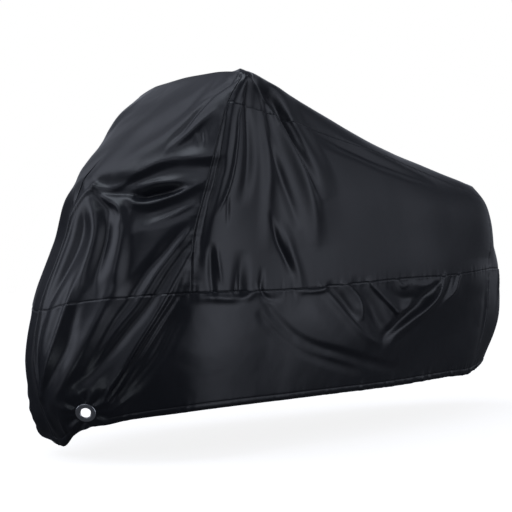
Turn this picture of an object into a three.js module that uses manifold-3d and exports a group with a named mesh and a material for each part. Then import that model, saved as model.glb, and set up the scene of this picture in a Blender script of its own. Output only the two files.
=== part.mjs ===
// A fitted motorcycle cover, hollow, in the shape in which it hangs: sewn panels of coated cloth, two eyelet patches
// and two metal eyelet rings. Millimetres, +Z up, +X towards the tail, -Y towards the near side. The tables below
// give heights above the ground, and the finished model is moved so that its origin is the point that holds it up.
import * as THREE from "three";
import { mergeVertices } from "three/addons/utils/BufferGeometryUtils.js";
import Module from "manifold-3d";

const wasm = await Module();
wasm.setup();

// Driving dimensions.
const CLOTH_THICKNESS = 2;
const SEAM_GAP = 0.3;
const HOLDING_POINT = { x: 120, y: 0, height: 1262 };
const EYELET = {
  around: 160, // along the cloth from the centre of the front
  down: 1058, // along the cloth from the ridge
  flatRadius: 66, // the cloth is flat this far from the middle of the ring
  blendRadius: 130,
  slopeReach: 20, // the cloth's slope there is measured this far each way
  flangeRadius: 34,
  washerRadius: 29,
  barrelRadius: 20,
  boreRadius: 18.4,
  flangeDepth: 1.8,
  washerDepth: 1.1,
  holeDepth: 30, // of the tool that cuts the hole through the cloth
  sides: 40,
  edgeSteps: 5, // in the curve over the flange, and over the washer
};

// Cloth coordinates: how far along the cloth each station lies from the centre of the front, and each level from
// the ridge. Between two of them the cloth has this many cells.
const STATIONS = [
  { name: "front", around: 0, cells: 3 },
  { name: "nose", around: 90, cells: 8 },
  { name: "quarter", around: 305, cells: 5 },
  { name: "seam", around: 500, cells: 8 },
  { name: "fore", around: 905, cells: 6 },
  { name: "mid", around: 1205, cells: 6 },
  { name: "aft", around: 1510, cells: 5 },
  { name: "rear", around: 1815, cells: 5 },
  { name: "corner", around: 2140, cells: 4 },
  { name: "tail", around: 2390, cells: 0 },
];
const LEVELS = [
  { name: "ridge", down: 0, cells: 2 },
  { name: "spine", down: 110, cells: 5 },
  { name: "chest", down: 330, cells: 5 },
  { name: "waist", down: 530, cells: 4 },
  { name: "long", down: 715, cells: 4 },
  { name: "bulge", down: 920, cells: 8 },
  { name: "hem", down: 1115, cells: 0 },
];
const CROWN = { down: -200, cells: 5 };
const CENTRE_SEAM = -30; // around, a little to the far side of the middle of the front

// The front of the cover, a row for each level. Near side y values are negative, and far side ones positive.
const FRONT = {
  ridge: { front: [30, 0, 1303], nose: [30, -110, 1309], quarter: [30, -225, 1312], seam: [30, -325, 1304] },
  spine: { front: [-95, -8, 1205], nose: [-85, -115, 1212], quarter: [-70, -235, 1212], seam: [-38, -341, 1206] },
  chest: { front: [-404, -52, 930], nose: [-372, -118, 925], quarter: [-262, -236, 926], seam: [-130, -352, 937] },
  waist: { front: [-484, -48, 728], nose: [-452, -122, 730], quarter: [-330, -252, 742], seam: [-185, -348, 752] },
  long: { front: [-580, -45, 512], nose: [-546, -120, 531], quarter: [-385, -262, 558], seam: [-200, -350, 568] },
  bulge: { front: [-602, -48, 284], nose: [-566, -128, 298], quarter: [-402, -265, 332], seam: [-212, -354, 358] },
  hem: { front: [-506, -32, 42], nose: [-498, -100, 94], quarter: [-384, -216, 140], seam: [-225, -322, 166] },
};
const FRONT_FAR = {
  ridge: { nose: [30, 112, 1290], quarter: [32, 220, 1274], seam: [38, 318, 1243] },
  spine: { nose: [-95, 118, 1196], quarter: [-92, 222, 1182], seam: [-45, 328, 1150] },
  chest: { nose: [-390, 58, 930], quarter: [-262, 210, 925], seam: [-150, 332, 920] },
  waist: { nose: [-464, 58, 728], quarter: [-320, 225, 735], seam: [-190, 335, 742] },
  long: { nose: [-560, 62, 500], quarter: [-400, 235, 535], seam: [-205, 338, 560] },
  bulge: { nose: [-588, 62, 276], quarter: [-414, 240, 318], seam: [-215, 342, 352] },
  hem: { nose: [-518, 72, 66], quarter: [-387, 205, 128], seam: [-225, 312, 162] },
};

// The side, a row for each level: how far out the cloth hangs and how high it is at each station.
const SIDE_X = { fore: 200, mid: 500, aft: 800, rear: 1100 };
const SIDE = {
  ridge: { out: [275, 200, 150, 112], height: [1278, 1174, 1070, 990] },
  spine: { out: [300, 245, 200, 158], height: [1159, 1100, 1030, 952] },
  chest: { out: [343, 312, 272, 224], height: [955, 925, 890, 852] },
  waist: { out: [360, 345, 308, 254], height: [758, 748, 734, 716] },
  long: { out: [368, 360, 330, 280], height: [561, 567, 572, 570] },
  bulge: { out: [362, 352, 320, 268], height: [358, 358, 358, 360] },
  hem: { out: [338, 310, 280, 238], height: [171, 166, 160, 162] },
};
const CROWN_HEIGHT = { seam: 1303, fore: 1246, mid: 1152, aft: 1062, rear: 992 };
const FAR_SIDE = { widthShare: 0.97, foreDrop: 30, midDrop: 14 };

// The tail, a row for each level: the corner where the gusset is sewn in, and the middle of the gusset.
const TAIL = {
  ridge: { corner: [1390, -98, 909], tail: [1434, 0, 922] },
  spine: { corner: [1422, -122, 862], tail: [1488, 0, 872] },
  chest: { corner: [1448, -140, 772], tail: [1560, 0, 775] },
  waist: { corner: [1450, -148, 672], tail: [1600, 0, 672] },
  long: { corner: [1432, -150, 573], tail: [1638, 0, 560] },
  bulge: { corner: [1426, -154, 366], tail: [1640, 0, 345] },
  hem: { corner: [1345, -146, 152], tail: [1540, 0, 172] },
};

// Folds, a row for each: its width, and a line of [around, down, height], where a ridge is high and a trough low.
const NARROWEST_FOLD = 42;
const FRONT_FOLDS = [
  // Below the top edge.
  { width: 70, line: [[440, 50, 4], [300, 190, 14], [190, 255, 16], [60, 300, 12], [5, 328, 16]] },
  { width: 30, line: [[400, 110, 0], [350, 185, 9], [318, 218, 7], [285, 235, 0]] },
  { width: 45, line: [[440, 140, 0], [415, 195, -12], [375, 245, -8], [330, 270, 0]] },
  { width: 60, line: [[300, 60, 0], [160, 160, -9], [60, 230, -9], [-10, 280, 0]] },
  // From the corner of the nose.
  { width: 40, line: [[500, 300, -6], [400, 318, -16], [280, 330, -22], [150, 345, -20], [30, 338, -8]] },
  { width: 45, line: [[5, 330, 18], [65, 365, 14], [104, 430, 13], [113, 560, 13], [140, 690, 8]] },
  { width: 42, line: [[190, 420, 7], [214, 490, 13], [226, 560, 13], [255, 690, 9], [262, 715, 7]] },
  { width: 42, line: [[110, 420, -3], [140, 456, -12], [152, 519, -14], [176, 645, -9], [190, 690, -3]] },
  { width: 42, line: [[-22, 335, 12], [-24, 480, 12], [-22, 620, 14], [-24, 760, 14], [-20, 900, 12], [-10, 1060, 6]] },
  { width: 42, line: [[18, 400, -2], [42, 560, -13], [30, 640, -11], [-4, 760, -9], [-14, 888, -8]] },
  // The deep fold under the nose and the hollow below it.
  { width: 30, line: [[225, 366, 0], [265, 378, -30], [330, 362, -30], [430, 332, -6]] },
  { width: 34, line: [[240, 405, 4], [300, 402, 12], [400, 372, 12], [480, 340, 4]] },
  { width: 60, line: [[245, 440, 0], [330, 432, -16], [440, 408, -12], [495, 395, 0]] },
];
const FRONT_SEAM_FOLDS = [
  // Diagonals that run from the front seam to the eyelet.
  { width: 34, line: [[500, 440, -4], [430, 560, -10], [370, 660, -12], [318, 722, -6]] },
  { width: 44, line: [[492, 470, 3], [440, 610, 9], [390, 690, 10], [345, 735, 4]] },
  { width: 34, line: [[497, 560, -4], [430, 662, -10], [392, 735, -12], [318, 842, -12], [262, 930, -8]] },
  { width: 50, line: [[490, 600, 4], [410, 735, 14], [350, 830, 18], [290, 920, 16], [248, 985, 8]] },
  { width: 26, line: [[448, 728, -5], [390, 810, -12], [345, 890, -12], [300, 950, -9], [268, 1015, -4]] },
  { width: 26, line: [[482, 735, -5], [425, 810, -10], [362, 900, -10], [312, 968, -6]] },
  { width: 44, line: [[500, 735, 4], [440, 840, 10], [395, 930, 12], [330, 1030, 6]] },
  { width: 60, line: [[300, 760, 0], [235, 850, -16], [180, 930, -16], [150, 985, -6]] },
];
const SKIRT_FRONT_FOLDS = [
  { width: 50, line: [[236, 712, 9], [222, 759, 14], [148, 888, 13], [98, 945, 10], [5, 1010, 7], [-40, 1052, 3]] },
  { width: 36, line: [[106, 640, 2], [102, 711, 7], [42, 873, 8], [-12, 966, 6], [-75, 1075, 0]] },
  { width: 42, line: [[150, 695, -4], [136, 735, -10], [113, 831, -11], [60, 912, -9], [-30, 1030, 0]] },
  { width: 40, line: [[-60, 420, 0], [-70, 620, -10], [-75, 800, -12], [-60, 960, -8], [-40, 1060, -2]] },
];
const SIDE_FOLDS = [
  // Beside the front seam, and the fan that falls from the near corner of the top edge.
  { width: 42, line: [[512, 120, 0], [530, 260, -4], [527, 390, -4], [527, 600, -4], [520, 660, 0]] },
  { width: 46, line: [[600, 30, -2], [655, 90, -8], [694, 156, -14], [708, 231, -16], [702, 306, -13], [675, 430, 0]] },
  { width: 46, line: [[700, 30, 3], [745, 100, 8], [786, 240, 13], [796, 330, 11], [812, 520, 4], [818, 600, 0]] },
  { width: 46, line: [[790, 60, 4], [866, 130, 10], [936, 270, 15], [998, 430, 10], [1030, 600, 0]] },
  { width: 42, line: [[700, 16, -4], [832, 60, -18], [926, 84, -26], [973, 186, -28], [1024, 297, -17], [1062, 410, 0]] },
  { width: 70, line: [[950, 40, 2], [1020, 160, 8], [1080, 280, 8], [1130, 400, 0]] },
  { width: 50, line: [[1090, 124, 0], [1245, 146, -12], [1419, 176, -12], [1680, 200, -5], [1800, 205, 0]] },
  // Above the long seam.
  { width: 42, line: [[819, 450, 0], [864, 560, -9], [897, 615, -7], [922, 668, 0]] },
  { width: 42, line: [[872, 490, 0], [928, 603, 6], [962, 714, 2]] },
  { width: 42, line: [[700, 580, 0], [691, 680, -12], [688, 716, -13]] },
];
const SKIRT_SIDE_FOLDS = [
  { width: 42, line: [[790, 735, -2], [831, 792, -7], [936, 879, -9], [1152, 957, -8], [1323, 1005, -6], [1520, 1052, 0]] },
  { width: 60, line: [[960, 760, 0], [1050, 830, 6], [1150, 900, 7], [1260, 945, 3]] },
  { width: 42, line: [[1104, 722, -6], [1158, 768, -9], [1205, 816, -8], [1240, 850, 0]] },
  { width: 42, line: [[1180, 718, 7], [1250, 777, 13], [1261, 812, 10], [1264, 852, 0]] },
  { width: 44, line: [[1232, 735, -6], [1308, 798, -14], [1356, 861, -15], [1412, 909, -7], [1445, 932, 0]] },
  { width: 42, line: [[1306, 724, 6], [1383, 784, 9], [1456, 836, 9], [1480, 852, 0]] },
  { width: 42, line: [[1415, 748, -3], [1479, 783, -9], [1659, 785, -7], [1712, 758, 0]] },
  { width: 42, line: [[1690, 758, -6], [1630, 802, -14], [1550, 840, -15], [1468, 878, -12], [1395, 922, -4]] },
  { width: 42, line: [[1742, 722, 9], [1702, 789, 13], [1645, 826, 12], [1560, 860, 10], [1482, 893, 8], [1388, 940, 0]] },
  { width: 42, line: [[1850, 722, 8], [1818, 777, 9], [1762, 812, 2], [1700, 850, 0]] },
  { width: 70, line: [[1880, 760, 2], [1990, 742, 9], [2110, 738, 6]] },
  { width: 110, line: [[1560, 985, -3], [1760, 950, -9], [1960, 930, -11], [2100, 940, -6]] },
];
const FAR_FOLDS = [
  { width: 80, line: [[-100, 100, 0], [-180, 180, -6], [-230, 260, -6], [-230, 350, 0]] },
  { width: 60, line: [[-430, 50, 3], [-270, 190, 8], [-130, 300, 5], [-70, 335, 5]] },
  { width: 50, line: [[-66, 338, 4], [-110, 400, 8], [-140, 560, 10], [-170, 700, 8]] },
  { width: 45, line: [[-480, 300, -6], [-330, 330, -16], [-170, 345, -12], [-80, 340, -4]] },
  { width: 50, line: [[-500, 430, -4], [-420, 580, -12], [-330, 730, -14], [-270, 900, -8]] },
  { width: 60, line: [[-490, 560, 4], [-400, 740, 14], [-300, 910, 14], [-240, 1000, 6]] },
  { width: 45, line: [[-470, 740, -4], [-390, 860, -12], [-310, 990, -6]] },
  { width: 60, line: [[-620, 40, -4], [-660, 200, -14], [-700, 380, -8], [-690, 500, 0]] },
  { width: 70, line: [[-700, 30, 5], [-780, 200, 12], [-850, 400, 12], [-880, 600, 4]] },
  { width: 45, line: [[-860, 20, -6], [-900, 130, -20], [-980, 280, -14], [-1050, 420, 0]] },
  { width: 60, line: [[-1100, 150, 0], [-1300, 200, -9], [-1600, 260, -6], [-1750, 300, 0]] },
  { width: 50, line: [[-900, 725, -4], [-980, 830, -10], [-1130, 930, -10], [-1380, 1010, -3]] },
  { width: 45, line: [[-1200, 720, 6], [-1270, 800, 12], [-1300, 900, 0]] },
  { width: 45, line: [[-1320, 722, -6], [-1400, 850, -14], [-1420, 960, 0]] },
  { width: 45, line: [[-1700, 725, -8], [-1600, 810, -13], [-1470, 880, -6]] },
  { width: 45, line: [[-1800, 722, 8], [-1780, 820, 12], [-1700, 880, 0]] },
];
const TAIL_FOLDS = [
  { width: 60, line: [[2260, 60, 0], [2290, 250, -8], [2280, 500, -8], [2290, 690, 0]] },
  { width: 60, line: [[-2300, 730, -4], [-2290, 860, -10], [-2310, 1020, -4]] },
];
const CROWN_FOLDS = [
  { width: 60, line: [[560, -150, 0], [760, -90, -12], [980, -70, -10], [1250, -60, 0]] },
  { width: 60, line: [[-600, -130, 0], [-800, -90, -12], [-1000, -80, -8], [-1300, -70, 0]] },
];
const FOLDS = [
  ...FRONT_FOLDS,
  ...FRONT_SEAM_FOLDS,
  ...SKIRT_FRONT_FOLDS,
  ...SIDE_FOLDS,
  ...SKIRT_SIDE_FOLDS,
  ...FAR_FOLDS,
  ...TAIL_FOLDS,
  ...CROWN_FOLDS,
];

const vec = (p) => new THREE.Vector3(p[0], p[1], p[2]);

// The net of control points, a row for each level, from the far side round the front to the near side.
function netPoint(level, station, near) {
  if (FRONT[level][station]) {
    return vec(near || station === "front" ? FRONT[level][station] : FRONT_FAR[level][station]);
  }
  const side = near ? -1 : FAR_SIDE.widthShare;
  if (TAIL[level][station]) {
    const point = vec(TAIL[level][station]);
    if (!near) point.y *= -FAR_SIDE.widthShare;
    return point;
  }
  const column = Object.keys(SIDE_X).indexOf(station);
  const high = level === "ridge" || level === "spine";
  const drop = near || !high ? 0 : [FAR_SIDE.foreDrop, FAR_SIDE.midDrop, 0, 0][column];
  return new THREE.Vector3(SIDE_X[station], side * SIDE[level].out[column], SIDE[level].height[column] - drop);
}

const stationNames = STATIONS.map((s) => s.name);
const lastStation = STATIONS.length - 1;
const girth = 2 * STATIONS[lastStation].around;
const knotsAround = [];
const netColumns = [];
for (let i = -lastStation; i < lastStation; i++) {
  knotsAround.push(Math.sign(i) * STATIONS[Math.abs(i)].around);
  netColumns.push(LEVELS.map((level) => netPoint(level.name, stationNames[Math.abs(i)], i > 0)));
}

// A smooth curve through points at uneven knots.
function slope(before, at, after, gapBefore, gapAfter) {
  const back = at.clone().sub(before).multiplyScalar(gapAfter / gapBefore);
  const on = after.clone().sub(at).multiplyScalar(gapBefore / gapAfter);
  return back.add(on).divideScalar(gapBefore + gapAfter);
}

function smoothCurve(points, knots, at) {
  let i = 0;
  while (i < points.length - 2 && at > knots[i + 1]) i++;
  const span = knots[i + 1] - knots[i];
  const [from, to] = [points[i], points[i + 1]];
  const chord = to.clone().sub(from).divideScalar(span);
  const slopeAt = (k) =>
    k > 0 && k < points.length - 1
      ? slope(points[k - 1], points[k], points[k + 1], knots[k] - knots[k - 1], knots[k + 1] - knots[k])
      : chord.clone();
  const u = (at - knots[i]) / span;
  return new THREE.Vector3()
    .addScaledVector(from, (1 + 2 * u) * (1 - u) ** 2)
    .addScaledVector(slopeAt(i), span * u * (1 - u) ** 2)
    .addScaledVector(to, u * u * (3 - 2 * u))
    .addScaledVector(slopeAt(i + 1), span * u * u * (u - 1));
}

const knotsDown = LEVELS.map((level) => level.down);

// The closed loop at one level of the net.
function loopPoint(level, around) {
  const count = netColumns.length;
  const points = [];
  const knots = [];
  for (let k = -2; k < count + 3; k++) {
    points.push(netColumns[(k + count) % count][level]);
    knots.push(knotsAround[(k + count) % count] + girth * Math.floor(k / count));
  }
  return smoothCurve(points, knots, around);
}

// The middle of the cloth before its folds. Above the ridge only the stations of the sides go on, over the crown.
function drape(around, down) {
  const points = LEVELS.map((_, level) => loopPoint(level, around));
  const knots = [...knotsDown];
  const seam = STATIONS[stationNames.indexOf("seam")].around;
  const corner = STATIONS[stationNames.indexOf("corner")].around;
  const along = Math.abs(around);
  if (along >= seam && along <= corner) {
    points.unshift(crownMiddle(along));
    knots.unshift(CROWN.down);
    points.unshift(loopPoint(0, -around));
    knots.unshift(2 * CROWN.down);
  }
  return smoothCurve(points, knots, down);
}

function crownMiddle(along) {
  const names = ["seam", "fore", "mid", "aft", "rear"];
  const points = names.map((name) => new THREE.Vector3(SIDE_X[name] ?? FRONT.ridge.front[0], 0, CROWN_HEIGHT[name]));
  const knots = names.map((name) => STATIONS[stationNames.indexOf(name)].around);
  points.push(vec(TAIL.ridge.tail));
  knots.push(STATIONS[stationNames.indexOf("corner")].around);
  return smoothCurve(points, knots, along);
}

// The frame of an eyelet: its middle on the cloth and the way it faces.
function eyeletFrame(side) {
  const step = EYELET.slopeReach;
  const at = (da, dd) => drape(side * (EYELET.around + da), EYELET.down + dd);
  const alongCloth = at(step, 0).sub(at(-step, 0));
  const downCloth = at(0, step).sub(at(0, -step));
  const facing = alongCloth.cross(downCloth).normalize();
  if (facing.y * side > 0) facing.negate();
  return { middle: at(0, 0), facing };
}
const EYELETS = { near: eyeletFrame(1), far: eyeletFrame(-1) };

const smoothStep = (low, high, value) => {
  const u = Math.min(Math.max((value - low) / (high - low), 0), 1);
  return u * u * (3 - 2 * u);
};

// How high the folds stand at one place of the cloth.
function foldHeight(around, down) {
  let height = 0;
  for (const fold of FOLDS) height += foldShape(fold, around, down);
  return height;
}

function foldShape(fold, around, down) {
  let nearest = Infinity;
  let height = 0;
  for (let i = 0; i < fold.line.length - 1; i++) {
    const [[a0, d0, h0], [a1, d1, h1]] = [fold.line[i], fold.line[i + 1]];
    const lengthSquared = (a1 - a0) ** 2 + (d1 - d0) ** 2;
    const along = ((around - a0) * (a1 - a0) + (down - d0) * (d1 - d0)) / lengthSquared;
    const u = Math.min(Math.max(along, 0), 1);
    const distance = Math.hypot(around - a0 - u * (a1 - a0), down - d0 - u * (d1 - d0));
    if (distance < nearest) {
      nearest = distance;
      height = h0 + (h1 - h0) * u;
    }
  }
  const width = Math.max(fold.width, NARROWEST_FOLD);
  return height * (fold.width / width) ** 0.5 * Math.exp(-2 * (nearest / width) ** 2);
}

// The net of the whole cloth: its points, and each cell's place in cloth coordinates.
const points = [];
const pointAt = new Map();
const triangles = [];

function addPoint(key, position) {
  if (!pointAt.has(key)) {
    pointAt.set(key, points.length);
    points.push(position);
  }
  return pointAt.get(key);
}

function steps(rows, key) {
  const out = [rows[0][key]];
  for (let i = 0; i < rows.length - 1; i++) {
    for (let k = 1; k <= rows[i].cells; k++) {
      out.push(rows[i][key] + ((rows[i + 1][key] - rows[i][key]) * k) / rows[i].cells);
    }
  }
  return out;
}
const nearSteps = steps(STATIONS, "around");
const aroundSteps = [...nearSteps.slice(1).reverse().map((a) => -a), ...nearSteps];
const downSteps = steps(LEVELS, "down");
const crownSteps = Array.from({ length: CROWN.cells + 1 }, (_, k) => CROWN.down * (1 - k / CROWN.cells));

const wrap = (around) => (around === -girth / 2 ? girth / 2 : around);
const gridPoint = (around, down) => {
  const middle = down === CROWN.down;
  const column = middle ? Math.abs(around) : wrap(around);
  return addPoint(`${column.toFixed(3)} ${down.toFixed(3)}`, drape(column, down));
};

function addTriangle(corners, around, down) {
  if (new Set(corners).size === 3) triangles.push({ corners, around, down });
}

for (let i = 0; i < aroundSteps.length - 1; i++) {
  const [left, right] = [aroundSteps[i], aroundSteps[i + 1]];
  const middleAround = (left + right) / 2;
  for (let j = 0; j < downSteps.length - 1; j++) {
    const [upper, lower] = [downSteps[j], downSteps[j + 1]];
    const middleDown = (upper + lower) / 2;
    const [a, b] = [gridPoint(left, upper), gridPoint(right, upper)];
    const [c, d] = [gridPoint(right, lower), gridPoint(left, lower)];
    if (middleAround > 0) {
      addTriangle([a, d, c], middleAround, middleDown);
      addTriangle([a, c, b], middleAround, middleDown);
    } else {
      addTriangle([a, d, b], middleAround, middleDown);
      addTriangle([b, d, c], middleAround, middleDown);
    }
  }
}

// The crown: a strip between the two ridges, from the top edge of the front to the top of the tail.
const seamAround = STATIONS[stationNames.indexOf("seam")].around;
const cornerAround = STATIONS[stationNames.indexOf("corner")].around;
const crownColumns = nearSteps.filter((a) => a > seamAround && a < cornerAround);
const crownRow = (along) => [
  ...crownSteps.slice().reverse().map((down) => gridPoint(-along, down)),
  ...crownSteps.slice(1).map((down) => gridPoint(along, down)),
];
const topEdgeRow = aroundSteps.filter((a) => Math.abs(a) <= seamAround).map((a) => gridPoint(a, 0));
const tailHalf = nearSteps.filter((a) => a >= cornerAround);
const tailEdgeRow = [
  ...tailHalf.map((a) => gridPoint(-a, 0)),
  ...tailHalf.slice(0, -1).reverse().map((a) => gridPoint(a, 0)),
];

// Joins two rows of points that run the same way and may have different counts.
function joinRows(first, second, around, down) {
  let [i, j] = [0, 0];
  while (i < first.length - 1 || j < second.length - 1) {
    const firstNext = (i + 1) / (first.length - 1);
    const secondNext = (j + 1) / (second.length - 1);
    if (j === second.length - 1 || (i < first.length - 1 && firstNext <= secondNext)) {
      addTriangle([first[i], first[i + 1], second[j]], around, down);
      i++;
    } else {
      addTriangle([first[i], second[j + 1], second[j]], around, down);
      j++;
    }
  }
}
const crownRows = [topEdgeRow, ...crownColumns.map(crownRow), tailEdgeRow];
for (let k = 0; k < crownRows.length - 1; k++) {
  joinRows(crownRows[k], crownRows[k + 1], (seamAround + cornerAround) / 2, CROWN.down / 2);
}

// The way the cloth faces at each point, the folds, and the flat places under the eyelets.
function pointNormals() {
  const normals = points.map(() => new THREE.Vector3());
  for (const { corners } of triangles) {
    const [a, b, c] = corners.map((k) => points[k]);
    const face = b.clone().sub(a).cross(c.clone().sub(a));
    for (const k of corners) normals[k].add(face);
  }
  return normals.map((n) => n.normalize());
}

const drapedNormals = pointNormals();
for (const [key, k] of pointAt) {
  const [around, down] = key.split(" ").map(Number);
  points[k].addScaledVector(drapedNormals[k], foldHeight(around, down));
}
for (const eyelet of Object.values(EYELETS)) {
  for (const point of points) {
    const away = point.clone().sub(eyelet.middle);
    const flat = 1 - smoothStep(EYELET.flatRadius, EYELET.blendRadius, away.length());
    point.addScaledVector(eyelet.facing, -flat * away.dot(eyelet.facing));
  }
}
const normals = pointNormals();

// A panel: its triangles drawn in by half a seam gap at their edge and given the cloth's thickness. At a sharp
// corner the drawing in stops growing at this value.
const SHARPEST_MITRE = 0.3;

function panelGeometry(panelTriangles) {
  const edges = new Map();
  for (const { corners } of panelTriangles) {
    corners.forEach((from, k) => edges.set(`${from} ${corners[(k + 1) % 3]}`, [from, corners[(k + 1) % 3]]));
  }
  const rim = [...edges.values()].filter(([from, to]) => !edges.has(`${to} ${from}`));
  const drawIn = new Map();
  for (const [from, to] of rim) {
    const alongRim = points[to].clone().sub(points[from]).normalize();
    for (const k of [from, to]) {
      const inward = normals[k].clone().cross(alongRim).normalize();
      drawIn.set(k, [...(drawIn.get(k) ?? []), inward]);
    }
  }
  const used = [...new Set(panelTriangles.flatMap(({ corners }) => corners))];
  const place = new Map(used.map((k, order) => [k, order]));
  const positions = new Float32Array(used.length * 6);
  used.forEach((k, order) => {
    const base = points[k].clone();
    const inwards = drawIn.get(k) ?? [];
    if (inwards.length > 1) {
      const sum = inwards[0].clone().add(inwards[1]);
      base.addScaledVector(sum, SEAM_GAP / 2 / Math.max(sum.lengthSq() / 2, SHARPEST_MITRE));
    }
    const outer = base.clone().addScaledVector(normals[k], CLOTH_THICKNESS / 2);
    const inner = base.clone().addScaledVector(normals[k], -CLOTH_THICKNESS / 2);
    outer.toArray(positions, order * 3);
    inner.toArray(positions, (used.length + order) * 3);
  });
  const index = [];
  for (const { corners } of panelTriangles) {
    const [a, b, c] = corners.map((k) => place.get(k));
    index.push(a, b, c, used.length + c, used.length + b, used.length + a);
  }
  for (const [from, to] of rim) {
    const [a, b] = [place.get(from), place.get(to)];
    index.push(b, a, used.length + a, b, used.length + a, used.length + b);
  }
  const geometry = new THREE.BufferGeometry();
  geometry.setAttribute("position", new THREE.BufferAttribute(positions, 3));
  geometry.setIndex(index);
  return geometry;
}

const levelDown = (name) => LEVELS.find((level) => level.name === name).down;
const PATCH = { inner: 90, outer: 255, top: 944 };
const spineEdge = levelDown("spine");
const longEdge = levelDown("long");

const inPatch = (side) => (t) => {
  const along = t.around * side;
  return along > PATCH.inner && along < PATCH.outer && t.down > PATCH.top;
};
const onHalf = (t, side, to) => (t.around - CENTRE_SEAM) * side > 0 && Math.abs(t.around) < to;
const isCrown = (t) => t.down < 0;
const inSpine = (t) => {
  const along = Math.abs(t.around);
  const strip = along > seamAround && along < cornerAround && t.down < spineEdge;
  return isCrown(t) || strip || (along > cornerAround && t.down < longEdge);
};
const PANELS = {
  spine_panel: inSpine,
  skirt_tail: (t) => Math.abs(t.around) > cornerAround && t.down > longEdge,
};
for (const [name, side] of [["near", 1], ["far", -1]]) {
  PANELS[`front_panel_${name}`] = (t) => !isCrown(t) && onHalf(t, side, seamAround) && t.down < longEdge;
  PANELS[`side_panel_${name}`] = (t) =>
    onHalf(t, side, cornerAround) && Math.abs(t.around) > seamAround && t.down > spineEdge && t.down < longEdge;
  PANELS[`skirt_${name}`] = (t) => onHalf(t, side, cornerAround) && t.down > longEdge && !inPatch(side)(t);
  PANELS[`eyelet_patch_${name}`] = inPatch(side);
}

// Materials.
const clothMaterial = new THREE.MeshStandardMaterial({ color: 0x1b1c1f, roughness: 0.42, metalness: 0 });
const ringMaterial = new THREE.MeshStandardMaterial({ color: 0xb9bcc0, roughness: 0.25, metalness: 1 });

const cover = new THREE.Group();
cover.position.set(-HOLDING_POINT.x, -HOLDING_POINT.y, -HOLDING_POINT.height);

const SAME_POINT = 1e-4;

function toSolid(geometry) {
  const bare = geometry.clone();
  bare.deleteAttribute("normal");
  bare.deleteAttribute("uv");
  const merged = mergeVertices(bare, SAME_POINT);
  return new wasm.Manifold(
    new wasm.Mesh({
      numProp: 3,
      vertProperties: merged.attributes.position.array,
      triVerts: new Uint32Array(merged.index.array),
    }),
  );
}

function toGeometry(solid) {
  const mesh = solid.getMesh();
  const geometry = new THREE.BufferGeometry();
  geometry.setAttribute("position", new THREE.BufferAttribute(mesh.vertProperties, 3));
  geometry.setIndex(new THREE.BufferAttribute(mesh.triVerts, 1));
  return geometry;
}

// A lathe shape turned from its own Y axis to an eyelet's axis.
function onEyelet(geometry, eyelet) {
  const turn = new THREE.Quaternion().setFromUnitVectors(new THREE.Vector3(0, 1, 0), eyelet.facing);
  const matrix = new THREE.Matrix4().compose(eyelet.middle, turn, new THREE.Vector3(1, 1, 1));
  return geometry.applyMatrix4(matrix);
}

// A rounded edge between two radii, which stands a depth off a face. A depth below zero stands off the other way.
function roundedEdge(fromRadius, toRadius, face, depth) {
  return Array.from({ length: EYELET.edgeSteps + 1 }, (_, k) => {
    const turn = (Math.PI * k) / EYELET.edgeSteps;
    return [fromRadius + ((toRadius - fromRadius) * (1 - Math.cos(turn))) / 2, face + depth * Math.sin(turn)];
  });
}

function ringGeometry() {
  const face = CLOTH_THICKNESS / 2 + SEAM_GAP;
  const profile = [
    ...roundedEdge(EYELET.boreRadius, EYELET.flangeRadius, face, EYELET.flangeDepth),
    [EYELET.barrelRadius, face],
    [EYELET.barrelRadius, -face],
    ...roundedEdge(EYELET.washerRadius, EYELET.boreRadius, -face, -EYELET.washerDepth),
  ];
  const loop = [...profile, profile[0]].reverse().map(([r, y]) => new THREE.Vector2(r, y));
  return new THREE.LatheGeometry(loop, EYELET.sides);
}

for (const [name, inside] of Object.entries(PANELS)) {
  let geometry = panelGeometry(triangles.filter(inside));
  const eyelet = EYELETS[name.replace("eyelet_patch_", "")];
  if (eyelet) {
    const hole = EYELET.barrelRadius + SEAM_GAP;
    const cutter = new THREE.CylinderGeometry(hole, hole, EYELET.holeDepth, EYELET.sides);
    geometry = toGeometry(toSolid(geometry).subtract(toSolid(onEyelet(cutter, eyelet))));
  }
  geometry.computeVertexNormals();
  const mesh = new THREE.Mesh(geometry, clothMaterial);
  mesh.name = name;
  cover.add(mesh);
}
for (const [name, eyelet] of Object.entries(EYELETS)) {
  const mesh = new THREE.Mesh(onEyelet(ringGeometry(), eyelet), ringMaterial);
  mesh.name = `eyelet_ring_${name}`;
  cover.add(mesh);
}

const part = new THREE.Group();
part.add(cover);
export default part;
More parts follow.
